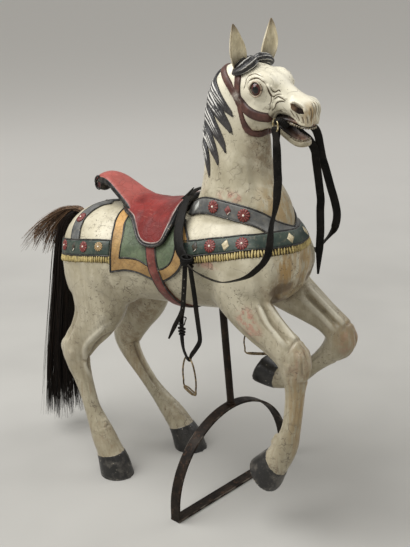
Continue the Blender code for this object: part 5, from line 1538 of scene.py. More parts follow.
for x, top, edge_y, edge_z, power in rows:
    outer, inner, edge = [], [], []
    for j in range(COLUMNS + 1):
        t = math.sin(math.pi / 2 * (2 * j / COLUMNS - 1))
        y, z = edge_y * t, top - (top - edge_z) * abs(t) ** power
        away = min((Vector((x, abs(y), z)) - end).length for end in ends)
        away = min(away, abs(x - rows[-1][0]) + 0.001)
        swell = 0.003 * min(1.0, away / 0.012)
        outer.append(Vector((x, y * (1 + 0.004 * min(1.0, away / 0.02)), z + swell * (1 - abs(t) ** 3))))
        inner.append(Vector((x, y * 0.8, z - 0.028 + 0.012 * abs(t) ** power)))
        edge.append(away)
    if x < REACHED_BY_TONGUE:
        edge = [0.02] * (COLUMNS + 1)
    rings.append(outer + inner[::-1])
    widths.append(edge + [0.0] * (COLUMNS + 1))
seat.rings(rings, [row[0] for row in rows], widths)
rows = through(TONGUE, 8)
rings, widths = [], []
SIDES = 48
for i, row in enumerate(rows):
    here = Vector(row[:3])
    ahead = ahead_at(rows, i)
    up = Vector((0, 1, 0)).cross(ahead)
    up = up if up.z > 0 or i > 30 else -up
    ring, edge = [], []
    for a in turns(SIDES):
        flat = math.copysign(abs(math.sin(a)) ** 0.75, math.sin(a))
        wide = math.copysign(abs(math.cos(a)) ** 0.75, math.cos(a))
        ring.append(here + Vector((0, row[4] * wide, 0)) + up * (row[3] * flat))
        on_top = 0.02 if flat > 0.55 or here.x > -0.262 else 0.0075
        edge.append(on_top if flat > 0.4 else -0.004)
    rings.append(ring)
    widths.append(edge)
seat.rings(rings, [row[0] for row in rows], widths)

# %% Crimson saddle paint
crimson = finish_named("crimson_leather_paint", roughness=0.38, specular=0.24, varnish=(0.08, 0.28))
spot = where()
mottle = blotches(spot, 16.0, 0.34, 0.68, 5.0, 0.62)
red = over(mottle, (0.128, 0.011, 0.009), (0.245, 0.026, 0.021))
high = parts_of(spot)["Z"]
red = over(ease(high, 0.76, 0.7, 0.0, 0.55), red, (0.17, 0.018, 0.015))
# The top of the tongue painted paler pink: partly wear, partly a painted highlight.
worn = times(ease(parts_of(spot)["X"], -0.235, -0.29), ease(high, 0.745, 0.765))
red = over(times(worn, 0.4), red, (0.6, 0.19, 0.155))
scratch = blotches(where((1, 6, 18)), 16.0, 0.6, 0.68, 4.0, 0.6)
red = over(times(scratch, 0.2), red, (0.56, 0.24, 0.18))
net = crack_net(spot, 60.0, 0.01, 44.0, 0.01, 0.045)
red = over(times(net, 0.22), red, (0.11, 0.015, 0.012))
edge = named("across")
wander = plus(edge, times(minus(grain(spot, 60.0, 2.0), 0.5), 0.002))
pale = times(ease(wander, 0.0062, 0.0068), ease(wander, 0.0092, 0.0084))
rubbed = blotches(spot, 24.0, 0.34, 0.6)
colour = over(times(pale, ease(rubbed, 0.0, 1.0, 0.35, 0.85)), red, (0.4, 0.37, 0.325))
black = over(blotches(spot, 70.0, 0.45, 0.7, 4.0), (0.01, 0.01, 0.01), (0.05, 0.046, 0.04))
border = ease(wander, 0.0066, 0.006)
colour = over(border, colour, black)
coat(colour)
relief(minus(mottle, net), 0.0006, 0.7)
settle(seat.made("saddle"), crimson)

# %% Scroll and piping
trim = Relief()
for side in (1, -1):
    coil = []
    for k in range(34):
        a, reach = math.radians(70 + 17 * k), 0.0165 * (1 - k / 44)
        x, z = -0.386 + reach * 0.80 * math.cos(a), 0.792 + reach * 1.25 * math.sin(a)
        coil.append((x, side * (0.0275 - 0.0001 * k), z))
    lay_cord(trim, None, coil, 0.0026, steps=1)
    border = [(row[0], row[2] * side * 0.992, row[3] - 0.001) for row in SEAT]
    lay_cord(trim, None, through(border, 5), 0.0034, steps=1)
scroll = lump("scroll", (-0.386, 0, 0.791), (0.0165, 0.029, 0.0225), segments=30)
for vert in scroll.data.vertices:
    vert.co.y = math.copysign(min(abs(vert.co.y), 0.0262), vert.co.y)
scroll_paint = finish_named("scroll_black", roughness=0.4)
spot = where()
middle_out = maths("ABSOLUTE", parts_of(spot)["Y"])
from_coil = distance(where((1, 0, 0.8)), (-0.386, 0, 0.791 * 0.8))
inner = times(ease(from_coil, 0.012, 0.009), ease(middle_out, 0.024, 0.0255))
dark = over(blotches(spot, 120.0, 0.42, 0.66, 4.0), (0.01, 0.009, 0.009), (0.045, 0.034, 0.028))
coat(over(inner, dark, (0.075, 0.012, 0.01)))
settle(scroll, scroll_paint)
harness_black = finish_named("harness_black_paint", roughness=0.4)
spot = where()
shade = blotches(spot, 120.0, 0.42, 0.66, 4.0)
black = over(shade, (0.009, 0.009, 0.009), (0.055, 0.048, 0.038))
chip = maths("GREATER_THAN", grain(spot, 170.0, 3.0, 0.6), 0.66)
coat(over(times(chip, 0.6), black, (0.42, 0.36, 0.26)))
settle(trim.made("saddle_piping"), harness_black)


# %% [markdown]
# ## Saddle cloth
#
# A cloth carved a few millimetres proud of the flank hangs below the saddle on each side. It is green with
# an ochre border, and black lines are painted round both. The outline is drawn in side view, filled with
# shrinking copies of itself, and laid on the skin. Each point keeps its distance from the outer and the
# inner outline, and the paint is divided by those two numbers.

# %% Cloth
OUTER = mm([
    (-300, 752), (-290, 724), (-280, 706), (-272, 684), (-266, 660), (-263, 632), (-262, 605), (-240, 611),
    (-213, 618), (-176, 619), (-141, 612), (-112, 606), (-86, 617), (-58, 638), (-43, 658), (-30, 690),
    (-36, 722), (-70, 752),
])
INNER = mm([
    (-262, 745), (-253, 720), (-240, 699), (-235, 670), (-234, 646), (-212, 650), (-175, 652), (-140, 643),
    (-108, 640), (-84, 652), (-70, 670), (-66, 694), (-74, 722), (-100, 755),
])
CORNERS = (6, 4)


def drawn(outline, corner, steps):
    """The outline as a closed smooth line with one sharp corner kept."""
    flat = [(x, 0.0, z) for x, z in outline]
    return [*through(flat[:corner + 1], steps), *through(flat[corner:], steps)[1:]]


outer_line, inner_line = drawn(OUTER, CORNERS[0], 14), drawn(INNER, CORNERS[1], 10)
TINY = 1e-12


def away_from(line, x, z):
    """How far a place is inside a closed line seen from the side; less than 0 outside it."""
    from_x, from_z = np.array([(p[0], p[2]) for p in line]).T
    step_x, step_z = np.roll(from_x, -1) - from_x, np.roll(from_z, -1) - from_z
    t = ((x - from_x) * step_x + (z - from_z) * step_z) / np.maximum(step_x**2 + step_z**2, TINY)
    t = np.clip(t, 0, 1)
    near = float(np.min(np.hypot(from_x + t * step_x - x, from_z + t * step_z - z)))
    crossing = (from_z > z) != (np.roll(from_z, -1) > z)
    at = from_x + (z - from_z) * step_x / np.where(np.abs(step_z) < TINY, TINY, step_z)
    return near if (crossing & (at > x)).sum() % 2 else -near


def on_side(x, z, side, height):
    """The point of the skin seen from the side at this place, or just below it, raised by a height."""
    for drop in range(40):
        hit = skin_tree.ray_cast(Vector((x, 0.4 * side, z - 0.001 * drop)), Vector((0, -side, 0)))
        if hit[0] is not None:
            return hit[0] + hit[1] * height
    return None


cloth = Relief()
MIDDLE, CLOTH_UNDER = (-0.155, 0.690), -0.004
SHRINK = [1.0, 1.0, 0.985] + [0.96 - 0.04 * k for k in range(22)] + [0.05]
LIFT = [-0.002, 0.003, 0.0042] + [0.0045] * 23


def shrunk(x, z, share):
    """A place of the outline drawn in towards the cloth's middle."""
    return MIDDLE[0] + (x - MIDDLE[0]) * share, MIDDLE[1] + (z - MIDDLE[1]) * share


for side in (1, -1):
    rings, widths = [], []
    for shrink, lift in zip(SHRINK, LIFT):
        ring, away = [], []
        for x, _, z in outer_line:
            place = shrunk(x, z, shrink)
            ring.append(on_side(*place, side, lift))
            away.append(away_from(outer_line, *place) if shrink < 1 else 0.0)
        rings.append(ring)
        widths.append(away)
    bottom = [on_side(*shrunk(x, z, 0.05), side, CLOTH_UNDER) for x, _, z in outer_line]
    wide_bottom = [on_side(x, z, side, CLOTH_UNDER) for x, _, z in outer_line]
    rings = [bottom, wide_bottom] + rings
    widths = [[0.0] * len(bottom)] * 2 + widths
    cloth.rings(rings, 0.0, widths)
saddle_cloth = cloth.made("saddle_cloth")
remember(saddle_cloth, inside=[away_from(inner_line, v.co.x, v.co.z) for v in saddle_cloth.data.vertices])
cloth_paint = finish_named("cloth_paint", roughness=0.46, specular=0.4)
spot = where()
soft = blotches(spot, 22.0, 0.34, 0.68, 5.0, 0.62)
green = over(soft, (0.066, 0.092, 0.05), (0.125, 0.158, 0.09))
ochre = over(soft, (0.27, 0.155, 0.055), (0.42, 0.262, 0.1))
# Painted light: the ochre border painted brighter towards its top.
lit_top = ease(parts_of(spot)["Z"], 0.69, 0.722)
ochre = over(times(lit_top, 0.7), ochre, (0.64, 0.36, 0.11))
inside = named("inside")
colour = over(ease(inside, -0.0004, 0.0004), ochre, green)
line = ease(maths("ABSOLUTE", inside), 0.0026, 0.002)
rim = ease(named("across"), 0.0042, 0.0034)
stain = blotches(spot, 80.0, 0.54, 0.7, 5.0, 0.7)
colour = over(times(stain, 0.35), colour, (0.06, 0.045, 0.028))
net = crack_net(spot, 60.0, 0.01, 60.0, 0.01, 0.05)
colour = over(times(net, 0.25), colour, (0.04, 0.03, 0.02))
colour = over(larger(line, rim), colour, (0.012, 0.012, 0.011))
coat(colour)
relief(minus(soft, net), 0.0006, 0.7)
settle(saddle_cloth, cloth_paint)
print("cloth faces", len(saddle_cloth.data.polygons))

# %% [markdown]
# ## Harness bands
#
# A breeching goes round the quarters, a crupper strap over the rump, a girth under the belly, and a low and a
# high breast band round the shoulders. Each is a flat carved band with a black line along both edges.

# %% Bands
BREECHING = mm([  # the middle line of a band on the body: x, y, z
    (-490, 0, 612), (-486, -45, 618), (-465, -85, 625), (-430, -115, 636), (-380, -130, 647),
    (-310, -136, 660), (-270, -136, 666),
])
BREAST_LOW = mm([
    (-45, -130, 701), (-10, -126, 708), (33, -118, 717), (74, -114, 726), (114, -104, 734), (145, -92, 739),
    (175, -68, 743), (196, -36, 743), (204, 0, 741),
])
BREAST_HIGH = mm([
    (-85, -52, 783), (-45, -66, 793), (-5, -74, 799), (36, -80, 799), (78, -80, 795), (112, -75, 789),
    (140, -66, 779), (160, -52, 767), (177, -34, 753), (188, -16, 743), (193, 0, 739),
])
CRUPPER = mm([
    (-360, -6, 742), (-385, -22, 733), (-400, -50, 720), (-408, -76, 706), (-405, -100, 686),
    (-399, -115, 669), (-394, -122, 655),
])
GIRTH = mm([
    (-143, -124, 698), (-132, -134, 665), (-124, -138, 640), (-115, -137, 616), (-107, -128, 588),
    (-100, -113, 566), (-94, -85, 541), (-90, -45, 524), (-88, 0, 519),
])
BREECHING_WIDTH, BREAST_LOW_WIDTH = 0.040, 0.037
BANDS = [  # middle line, width, height, colour number
    (BREECHING, BREECHING_WIDTH, 0.0040, 0.0), (BREAST_LOW, BREAST_LOW_WIDTH, 0.0045, 0.0),
    (BREAST_HIGH, 0.038, 0.0036, 1.0), (CRUPPER, 0.032, 0.0034, 1.0), (GIRTH, 0.028, 0.0078, 2.0),
]
bands, edges = Relief(), Relief()
for line, width, height, tint in BANDS:
    meets_middle = min(abs(line[0][1]), abs(line[-1][1])) < 1e-6
    runs = [both_halves(line)] if meets_middle else [line, mirrored(line)]
    for run in runs:
        lay_band(bands, skin_tree, run, width, height, 8, 10, crown=0.0006, kind=tint)
        spots, facings = dropped(skin_tree, run, 8)
        for hand in (-0.5, 0.5):
            rim = []
            for i, (place, facing) in enumerate(zip(spots, facings)):
                across = facing.cross(ahead_at(spots, i)).normalized()
                near, up = skin_tree.find_nearest(place + across * (width * hand))[:2]
                rim.append(near + up * (height * 0.55))
            lay_cord(edges, skin_tree, [tuple(p) for p in rim[::3] + [rim[-1]]], 0.0021, height * 0.7, 3, 8)
flat_ring = [(math.cos(a), 0.7 * math.sin(a)) for a in turns(6)]
for side in (1, -1):
    for line, corner in ((outer_line, 0.0042), (inner_line, 0.0048)):
        rim = [on_side(x, z, side, corner) for x, _, z in line]
        rings = []
        for i, place in enumerate(rim):
            ahead = ahead_at(rim, i)
            across = Vector((0, side, 0.15)).normalized().cross(ahead).normalized()
            up = ahead.cross(across)
            rings.append([place + (across * u + up * v) * 0.0018 for u, v in flat_ring])
        edges.rings(rings)


def by_kind(*colours):
    """The colour whose number the points keep as their kind."""
    colour, kind = colours[0], named("kind")
    for number, other in enumerate(colours[1:]):
        colour = over(ease(kind, number + 0.4, number + 0.6), colour, other)
    return colour


band_paint = finish_named("band_paint", roughness=0.44, specular=0.42)
spot = where()
soft = blotches(spot, 30.0, 0.34, 0.68, 5.0, 0.62)
green = over(soft, (0.02, 0.036, 0.029), (0.052, 0.074, 0.056))
slate = over(soft, (0.075, 0.078, 0.076), (0.16, 0.158, 0.148))
red = over(soft, (0.105, 0.022, 0.017), (0.23, 0.062, 0.048))
colour = by_kind(green, slate, red)
scuff = blotches(spot, 90.0, 0.52, 0.7, 5.0, 0.7)
colour = over(times(scuff, 0.35), colour, (0.26, 0.22, 0.15))
grime = blotches(spot, 50.0, 0.55, 0.7, 5.0, 0.7)
colour = over(times(grime, 0.5), colour, (0.03, 0.024, 0.016))
coat(colour)
relief(soft, 0.0006, 0.7)
settle(bands.made("harness_bands"), band_paint)
settle(edges.made("harness_lines"), harness_black)

# %% [markdown]
# ## Fringe, rosettes and diamonds
#
# Gold fringe hangs below the breeching and the low breast band. The bands carry carved rosettes, red with a
# pearl in the middle, and between them raised diamonds. The fringe is one strand repeated by the row tree,
# and the rosettes are one flower set at points.

# %% Fringe
FRINGE_LONG = 0.0205
gold = finish_named("fringe_gold", roughness=0.42, specular=0.5)
spot = where()
fine = blotches(spot, 120.0, 0.36, 0.66, 4.0, 0.6)
colour = over(fine, (0.26, 0.19, 0.065), (0.6, 0.48, 0.19))
broad = blotches(spot, 16.0, 0.4, 0.65)
colour = over(times(broad, 0.5), colour, (0.68, 0.56, 0.25))
colour = over(blotches(spot, 60.0, 0.56, 0.7, 5.0, 0.7), colour, (0.1, 0.065, 0.025))
coat(colour)
strand = lump("fringe_strand", (0, 0, 0), (0.0027, FRINGE_LONG / 2, 0.0036), segments=8)
# A dark strip under each fringe is painted shadow.
hems, shadow_strip = [], Relief()
for line, width in ((BREECHING, BREECHING_WIDTH), (BREAST_LOW, BREAST_LOW_WIDTH)):
    run = both_halves(line)
    spots, facings = dropped(skin_tree, run, 8)
    hung, turned, headings = [], [], []
    for i, (place, facing) in enumerate(zip(spots, facings)):
        ahead = ahead_at(spots, i)
        down = ahead.cross(facing).normalized()
        down = down if down.z < 0 else -down
        near, up = skin_tree.find_nearest(place + down * (width / 2 + FRINGE_LONG * 0.46))[:2]
        hung.append(near + up * 0.0016)
        turned.append(up)
        headings.append(ahead)
    if (turned[0].cross(headings[0])).z < 0:
        headings = [-h for h in headings]
    hems.append(in_a_row("fringe", hung, turned, strand, gold, 0.007, (0.82, 1.1), 0.14, 7, headings))
    lay_band(shadow_strip, skin_tree, [tuple(p) for p in hung[::4] + [hung[-1]]], FRINGE_LONG * 0.86, 0.0008, 4, 4)
gone(strand)
settle(joined("fringe", hems), gold)
shadow = finish_named("fringe_shadow", roughness=0.7)
coat(over(blotches(where(), 120.0, 0.4, 0.6, 4.0), (0.03, 0.02, 0.009), (0.07, 0.048, 0.02)))
settle(shadow_strip.made("fringe_backing"), shadow)

# %% Rosettes
ROSETTES = [  # place, size, raised on a band this high
    ((-437, -111, 638), 1), ((-351, -134, 654), 1), ((33, -118, 717), 1.1), ((114, -107, 733), 1.1),
    ((13, -75, 799), 1.1), ((98, -76, 791), 1.1), ((-406, -76, 706), 1.05),
]
GOLD_ROSETTES = [((-301, -134, 663), 0.85)]
BAND_TOP = 0.0042


def flower(name, radius, petals, height):
    """A round flower with ridged petals that lies in its own XY plane; it knows its radius and its ridges."""
    rows = (1.0, 1.0, 0.8, 0.55, 0.3)
    made = Relief()
    rings, widths = [], []
    for n, r in enumerate(rows):
        ring, ridge = [], []
        for a in turns(petals * 4):
            wave = math.cos(petals * a)
            reach = radius * r * (1 + 0.035 * wave * (r > 0.7))
            lift = -0.002 if n == 0 else height * (0.35 + 0.65 * (1 - r) ** 0.5) + 0.0007 * wave * (r > 0.4)
            ring.append(Vector((reach * math.cos(a), reach * math.sin(a), lift)))
            ridge.append(wave)
        rings.append(ring)
        widths.append(ridge)
    made.rings(rings, list(rows), widths)
    return made.made(name)


def skin_under(place, side):
    """The skin's nearest point to a place given for the right side, and its facing."""
    x, y, z = mm(place)
    return skin_tree.find_nearest(Vector((x, -y * side, z)))[:2]


def at_points(name, spots_sizes, item, paint):
    """The item at both sides' places, facing out from the skin, upright."""
    out = []
    for size in sorted({size for _, size in spots_sizes}):
        places, facings, headings = [], [], []
        for place, own in spots_sizes:
            if own != size:
                continue
            for side in (1, -1):
                near, up = skin_under(place, side)
                places.append(near + up * BAND_TOP)
                facings.append(up)
                headings.append(Vector((0, 0, 1)).cross(up).normalized())
        out.append(in_a_row(name, places, facings, item, paint, None, (size, size), 0.0, 3, headings))
    return joined(name, out) if len(out) > 1 else out[0]


def petal_paint(name, dark, bright, rim):
    paint = finish_named(name, roughness=0.42, specular=0.45)
    petal = ease(named("across"), -0.5, 0.4)
    colour = over(petal, dark, bright)
    blot = blotches(where(), 140.0, 0.5, 0.68, 4.0, 0.65)
    colour = over(times(blot, 0.5), colour, rim)
    coat(colour)
    return paint


red_petals = petal_paint("rosette_red", (0.075, 0.012, 0.01), (0.215, 0.036, 0.03), (0.36, 0.15, 0.12))
gold_petals = petal_paint("rosette_gold", (0.15, 0.085, 0.035), (0.44, 0.31, 0.14), (0.3, 0.17, 0.08))
item = flower("flower", 0.0138, 12, 0.003)
settle(at_points("rosettes_red", ROSETTES, item, red_petals), red_petals)
settle(at_points("rosettes_gold", GOLD_ROSETTES, item, gold_petals), gold_petals)
gone(item)
pearl_paint = finish_named("pearl_white", roughness=0.25, specular=0.6)
coat(over(blotches(where(), 200.0, 0.45, 0.7), (0.86, 0.8, 0.69), (0.56, 0.44, 0.33)))
pearl = lump("pearl", (0, 0, 0.003), (0.0026, 0.0026, 0.0018), segments=10)
settle(at_points("pearls", ROSETTES + GOLD_ROSETTES, pearl, pearl_paint), pearl_paint)
gone(pearl)

# %% Diamonds
DIAMONDS = [  # place, half width, half height, colour number
    ((-395, -125, 645), 8.5, 12.5, 0), ((-9, -121, 709), 10, 13.5, 0), ((74, -114, 725), 11.5, 13.5, 1),
    ((198, -33, 742), 10.5, 13, 1), ((-50, -64, 791), 9, 14.5, 2), ((56, -80, 798), 9.5, 12, 3),
]
LOZENGE = [(1, 0), (0.5, 0.5), (0, 1), (-0.5, 0.5), (-1, 0), (-0.5, -0.5), (0, -1), (0.5, -0.5)]
diamonds, dashes = Relief(), Relief()
for place, wide, high, tint in DIAMONDS:
    wide, high = mm((wide, high))
    for side in (1, -1):
        near, up = skin_under(place, side)
        along = Vector((0, 0, 1)).cross(up).normalized()
        rise = up.cross(along)
        centre = near + up * (BAND_TOP - 0.0004)
        rings = []
        for shrink, lift in ((1.0, -0.002), (1.0, 0.0008), (0.72, 0.0024), (0.05, 0.003)):
            rings.append([centre + along * (wide * shrink * c) + rise * (high * shrink * s) + up * lift
                          for c, s in LOZENGE])
        diamonds.rings(rings, kind=tint)
        if tint in (0.0, 3.0):
            from_left = centre - along * (wide * 0.75 * side) - rise * (high * 0.25) + up * 0.0024
            to_low = centre - along * (wide * 0.05 * side) - rise * (high * 0.92) + up * 0.0018
            rings = []
            for t in (0.0, 0.15, 0.85, 1.0):
                spot_here = from_left.lerp(to_low, t)
                size = 0.0011 if 0.1 < t < 0.9 else 0.0004
                rings.append([spot_here + along * (size * math.cos(a)) + up * (size * math.sin(a)) for a in
                              (0.0, 1.05, 2.09, 3.14, 4.19, 5.24)])
            dashes.rings(rings)
diamond_paint = finish_named("diamond_paint", roughness=0.42, specular=0.45)
spot = where()
fine = blotches(spot, 140.0, 0.38, 0.66, 4.0, 0.65)
dark = over(fine, (0.012, 0.012, 0.01), (0.075, 0.055, 0.035))
cream_tint = over(fine, (0.42, 0.35, 0.21), (0.7, 0.61, 0.41))
grey = over(fine, (0.33, 0.34, 0.32), (0.52, 0.52, 0.48))
wine = over(fine, (0.09, 0.022, 0.02), (0.26, 0.08, 0.07))
coat(by_kind(dark, cream_tint, grey, wine))
settle(diamonds.made("diamonds"), diamond_paint)
settle(dashes.made("diamond_lights"), pearl_paint)


# %% [markdown]
# ## Tail
#
# The tail is real hair set in a hole: long black-brown hair that hangs nearly to the floor, with a short
# lighter tuft over its root. Every strand is a thin three-sided thread that follows one drawn path at its
# own distance from the middle, and the threads stop at different heights, so that the end is ragged. A
# solid core keeps daylight from showing through.

# %% Hair
LONG_PATH = mm([
    (-478, 0, 688), (-503, 0, 692), (-530, 0, 655), (-546, 0, 580), (-560, 0, 480), (-580, 0, 350),
    (-600, 0, 200), (-610, 0, 49),
])
LONG_SPREAD = mm([8, 16, 27, 33, 37, 41, 48, 58])
TUFT_PATH = mm([
    (-474, 0, 694), (-500, 0, 703), (-530, 0, 699), (-566, 0, 678), (-606, 0, 645), (-642, 0, 602),
])
TUFT_SPREAD = mm([8, 14, 20, 29, 43, 58])
FURTHEST_BACK, LOWEST = mm((-677, 4))


def hair_of(name, path, spread, count, radius, shortest, seed,
            droop=0.0, segments=13, locks_in=26, gathered=0.74):
    """Three-sided threads round one path, each with its own place, waviness, length and tone."""
    draw = np.random.default_rng(seed)
    locks = [(draw.uniform(0, 2 * math.pi), math.sqrt(draw.uniform(0.1, 1.0))) for _ in range(locks_in)]
    line = through([(*point, wide) for point, wide in zip(path, spread)], 6)
    points, faces, tones = [], [], []
    for _ in range(count):
        angle, out = draw.uniform(0, 2 * math.pi), math.sqrt(draw.uniform(0.04, 1.0))
        stop = draw.uniform(shortest, 1.0) if draw.random() < 0.35 else draw.uniform(0.93, 1.0)
        phase, swing, tone = draw.uniform(0, 6.28), draw.uniform(0.001, 0.006), draw.random()
        thick = radius * draw.uniform(0.7, 1.3)
        sag = droop * draw.uniform(0.0, 1.0)
        lock_angle, lock_out = min(locks, key=lambda lock: abs(lock[0] - angle) % 6.28 + abs(lock[1] - out))
        start = len(points)
        for i in range(segments + 1):
            s = stop * i / segments
            at = s * (len(line) - 1)
            low = min(int(at), len(line) - 2)
            x, y, z, wide = line[low] + (line[low + 1] - line[low]) * (at - low)
            gather = gathered * s * s
            forth = out * math.cos(angle) * (1 - gather) + lock_out * math.cos(lock_angle) * gather
            aside = out * math.sin(angle) * (1 - gather) + lock_out * math.sin(lock_angle) * gather
            x += wide * forth + swing * s * math.sin(5 * s + phase)
            y += wide * aside * 1.05 + swing * s * math.cos(4 * s + phase)
            z += wide * forth * max(0.0, 0.9 - 2.6 * s) * 0.8 - sag * s * s
            x, z = max(x, FURTHEST_BACK), max(z, LOWEST)
            lean = thick * (1.0 - 0.75 * (i / segments) ** 3)
            for k in range(3):
                a = 2.094 * k + angle
                points.append((x + lean * math.cos(a), y + lean * math.sin(a), z))
                tones.append(tone)
        faces += between(segments, 3, start)
        faces += [(start, start + 1, start + 2), tuple(start + 3 * segments + k for k in (2, 1, 0))]
    obj = new_piece(name, points, faces)
    remember(obj, tone=tones)
    return outwards(obj)


def hair_paint(name, dark, light, shine):
    paint = finish_named(name, roughness=shine, specular=0.25)
    tone = named("tone")
    colour = over(ease(tone, 0.0, 1.0), dark, light)
    run = grain(where((60, 60, 2)), 3.0, 3.0)
    colour = over(times(ease(run, 0.52, 0.66), 0.5), colour, tuple(c * 1.8 for c in light))
    coat(colour)
    return paint


long_paint = hair_paint("tail_hair_dark", (0.004, 0.003, 0.0025), (0.019, 0.011, 0.007), 0.42)
tuft_paint = hair_paint("tail_hair_brown", (0.036, 0.021, 0.012), (0.25, 0.15, 0.088), 0.5)
long_hair = hair_of("tail_long_hair", LONG_PATH, LONG_SPREAD, 900, 0.0011, 0.72, 11)
settle(long_hair, long_paint, ["tail"])
wisps = hair_of("tail_wisps", [(x - 0.006 * max(0.0, 0.7 - z), y, z) for x, y, z in LONG_PATH],
                [w * 1.18 for w in LONG_SPREAD], 90, 0.0006, 0.55, 5)
settle(wisps, long_paint)
tuft = hair_of("tail_tuft", TUFT_PATH, TUFT_SPREAD, 420, 0.001, 0.45, 12,
               droop=0.05, locks_in=13, gathered=0.9)
settle(tuft, tuft_paint)
CORE_THIN = (1, 1, 1, 1, 0.95, 0.8, 0.6, 0.15)
core_rows = zip(LONG_PATH[:-1] + [mm((-600, 0, 120))], LONG_SPREAD, CORE_THIN)
core_rows = [(x, y, z, w * 0.72 * thin, w * 0.74 * thin) for (x, y, z), w, thin in core_rows]
core = tube("tail_core", core_rows, 20, 4)
remember(core, tone=0.0)
settle(core, long_paint)
print("tail strands laid")


# %% [markdown]
# ## Reins and stirrup leathers
#
# These are real straps of black leather, a little over 2 mm thick. The rein on the right drops from the bit
# ring and swings back to the knot above the stirrup; the one on the left hangs doubled, with a free end.
# Over the withers lies a wider strap, tied on each side into two narrow ones that go down and through the
# stirrup, and a short tongue lies across it. Each strap is a flat section with rounded edges carried along
# its path, with the way it faces drawn at every point.

# %% Strap paths
def route(rows):
    """A strap's middle line in millimetres, with the way its flat face points: (place, facing) pairs."""
    return [(mm(row[:3]), row[3:]) for row in rows]


REIN_RIGHT = route([  # middle line, and the way its flat face points
    (167, -43, 955, 0, -1, 0), (167, -43, 975, 0, -1, 0), (167, -42.8, 990, 0, -1, 0),
    (167, -43.6, 995, 0, -0.7, -0.7), (167, -47, 997.2, 0, 0, -1), (167, -50.4, 995, 0, 0.7, -0.7),
    (167, -51.2, 990, 0, 1, 0), (171, -53, 975, 0.1, 1, 0), (175, -56, 950, -0.3, 0.9, 0),
    (179, -60, 905, -0.59, 0.81, 0), (183, -64, 883, -0.59, 0.81, 0), (185, -70, 862, -0.62, 0.76, 0),
    (188, -78, 841, -0.75, 0.5, 0), (190, -88, 821, -0.88, 0.15, 0), (191, -98, 805, -0.92, 0, 0),
    (196, -113, 791, -0.85, 0.3, 0.1), (203, -128, 776, -0.8, 0.5, 0.2), (209, -142, 757, -0.75, 0.6, 0.2),
    (210, -152, 737, -0.7, 0.62, 0.3), (204, -160, 720, -0.6, 0.6, 0.5), (194, -166, 707, -0.4, 0.6, 0.7),
    (170, -169, 685, -0.2, 0.5, 0.85), (140, -170, 670, -0.1, 0.35, 0.95), (100, -170, 657, 0, 0.3, 0.95),
    (64, -169, 658, 0.05, 0.35, 0.95), (26, -170, 668, 0.1, 0.5, 0.85), (4, -170.4, 679, 0.3, 0.8, 0.5),
])
REIN_LEFT = route([  # from the free end up to the ring, over it, and round the breast to the stirrup strap
    (204.3, 86, 618, 0.9, -0.45, 0), (205.5, 86.2, 641, 0.85, -0.52, 0), (207.2, 85.5, 672, 0.7, -0.7, 0),
    (209.5, 84, 706, 0.59, -0.81, 0), (211.1, 83, 731, 0.59, -0.81, 0), (210.9, 81, 781, 0.59, -0.81, 0),
    (212.4, 80, 806, 0.59, -0.81, 0), (209.3, 80, 830, 0.59, -0.81, 0), (205.1, 78, 866, 0.59, -0.81, 0),
    (201, 75, 902, 0.59, -0.81, 0), (200, 70, 926, 0.59, -0.81, 0), (190, 61, 951, 0.5, -0.81, 0.2),
    (176, 48, 968, 0.3, -0.8, 0.3), (168, 42.5, 980, 0, -1, 0), (167, 42.8, 990, 0, -1, 0),
    (167, 43.6, 995, 0, -0.7, 0.7), (167, 47, 997.2, 0, 0, 1), (167, 50.4, 995, 0, 0.7, 0.7),
    (168, 52, 990, 0, 1, 0), (182, 60, 986, -0.3, 0.8, 0.5), (199, 68, 979, -0.5, 0.8, 0.2),
    (204.9, 76, 961, -0.59, 0.81, 0), (206.5, 83, 936, -0.59, 0.81, 0), (210.8, 88, 905, -0.59, 0.81, 0),
    (218.1, 90, 882, -0.59, 0.81, 0), (232.4, 92, 835, -0.59, 0.81, 0), (239.7, 94, 811, -0.59, 0.81, 0),
    (245.2, 96, 787, -0.59, 0.81, 0), (246.4, 98, 770, -0.59, 0.81, -0.1),
    (243, 101, 751, -0.5, 0.85, -0.2), (235.9, 105, 734, -0.2, 0.85, -0.4),
    (224.8, 110, 719, 0.2, 0.65, -0.55), (211.5, 115, 702, 0.4, 0.45, -0.55),
    (191.7, 124, 679, 0.35, 0.5, -0.7), (174.9, 134, 662, 0.25, 0.6, -0.75),
    (150, 150, 652, 0.1, 0.5, -0.85), (110, 165, 645, 0, 0.35, -0.95), (64, 171, 655, -0.05, 0.35, -0.95),
    (26, 171, 668, -0.1, 0.5, -0.85), (4, 170.4, 679, -0.3, 0.8, -0.5),
])
WITHERS_STRAP = route([  # right half, from the top of the withers down to where the strap divides
    (-84.5, 0, 812, 0, 0, 1), (-84.5, -30, 807, 0, -0.3, 0.95), (-80, -62, 790, 0, -0.55, 0.83),
    (-70, -95, 763, 0, -0.72, 0.69), (-58, -122, 735, 0.05, -0.85, 0.5), (-40, -143, 708, 0.1, -0.95, 0.25),
    (-18, -156, 690, 0.1, -0.99, 0), (-8, -159, 680, 0.1, -0.99, 0),
])
STIRRUP_TOP = (-0.005, -0.168, 0.442)
STIRRUP_TURN = -28
STIRRUP = mm([  # outline of the wire, along the foot plate and up from its top
    (0, 0), (19, -7), (31, -27), (36.5, -50), (34.5, -70), (28, -87), (-28, -87), (-34.5, -70),
    (-36.5, -50), (-31, -27), (-19, -7),
])
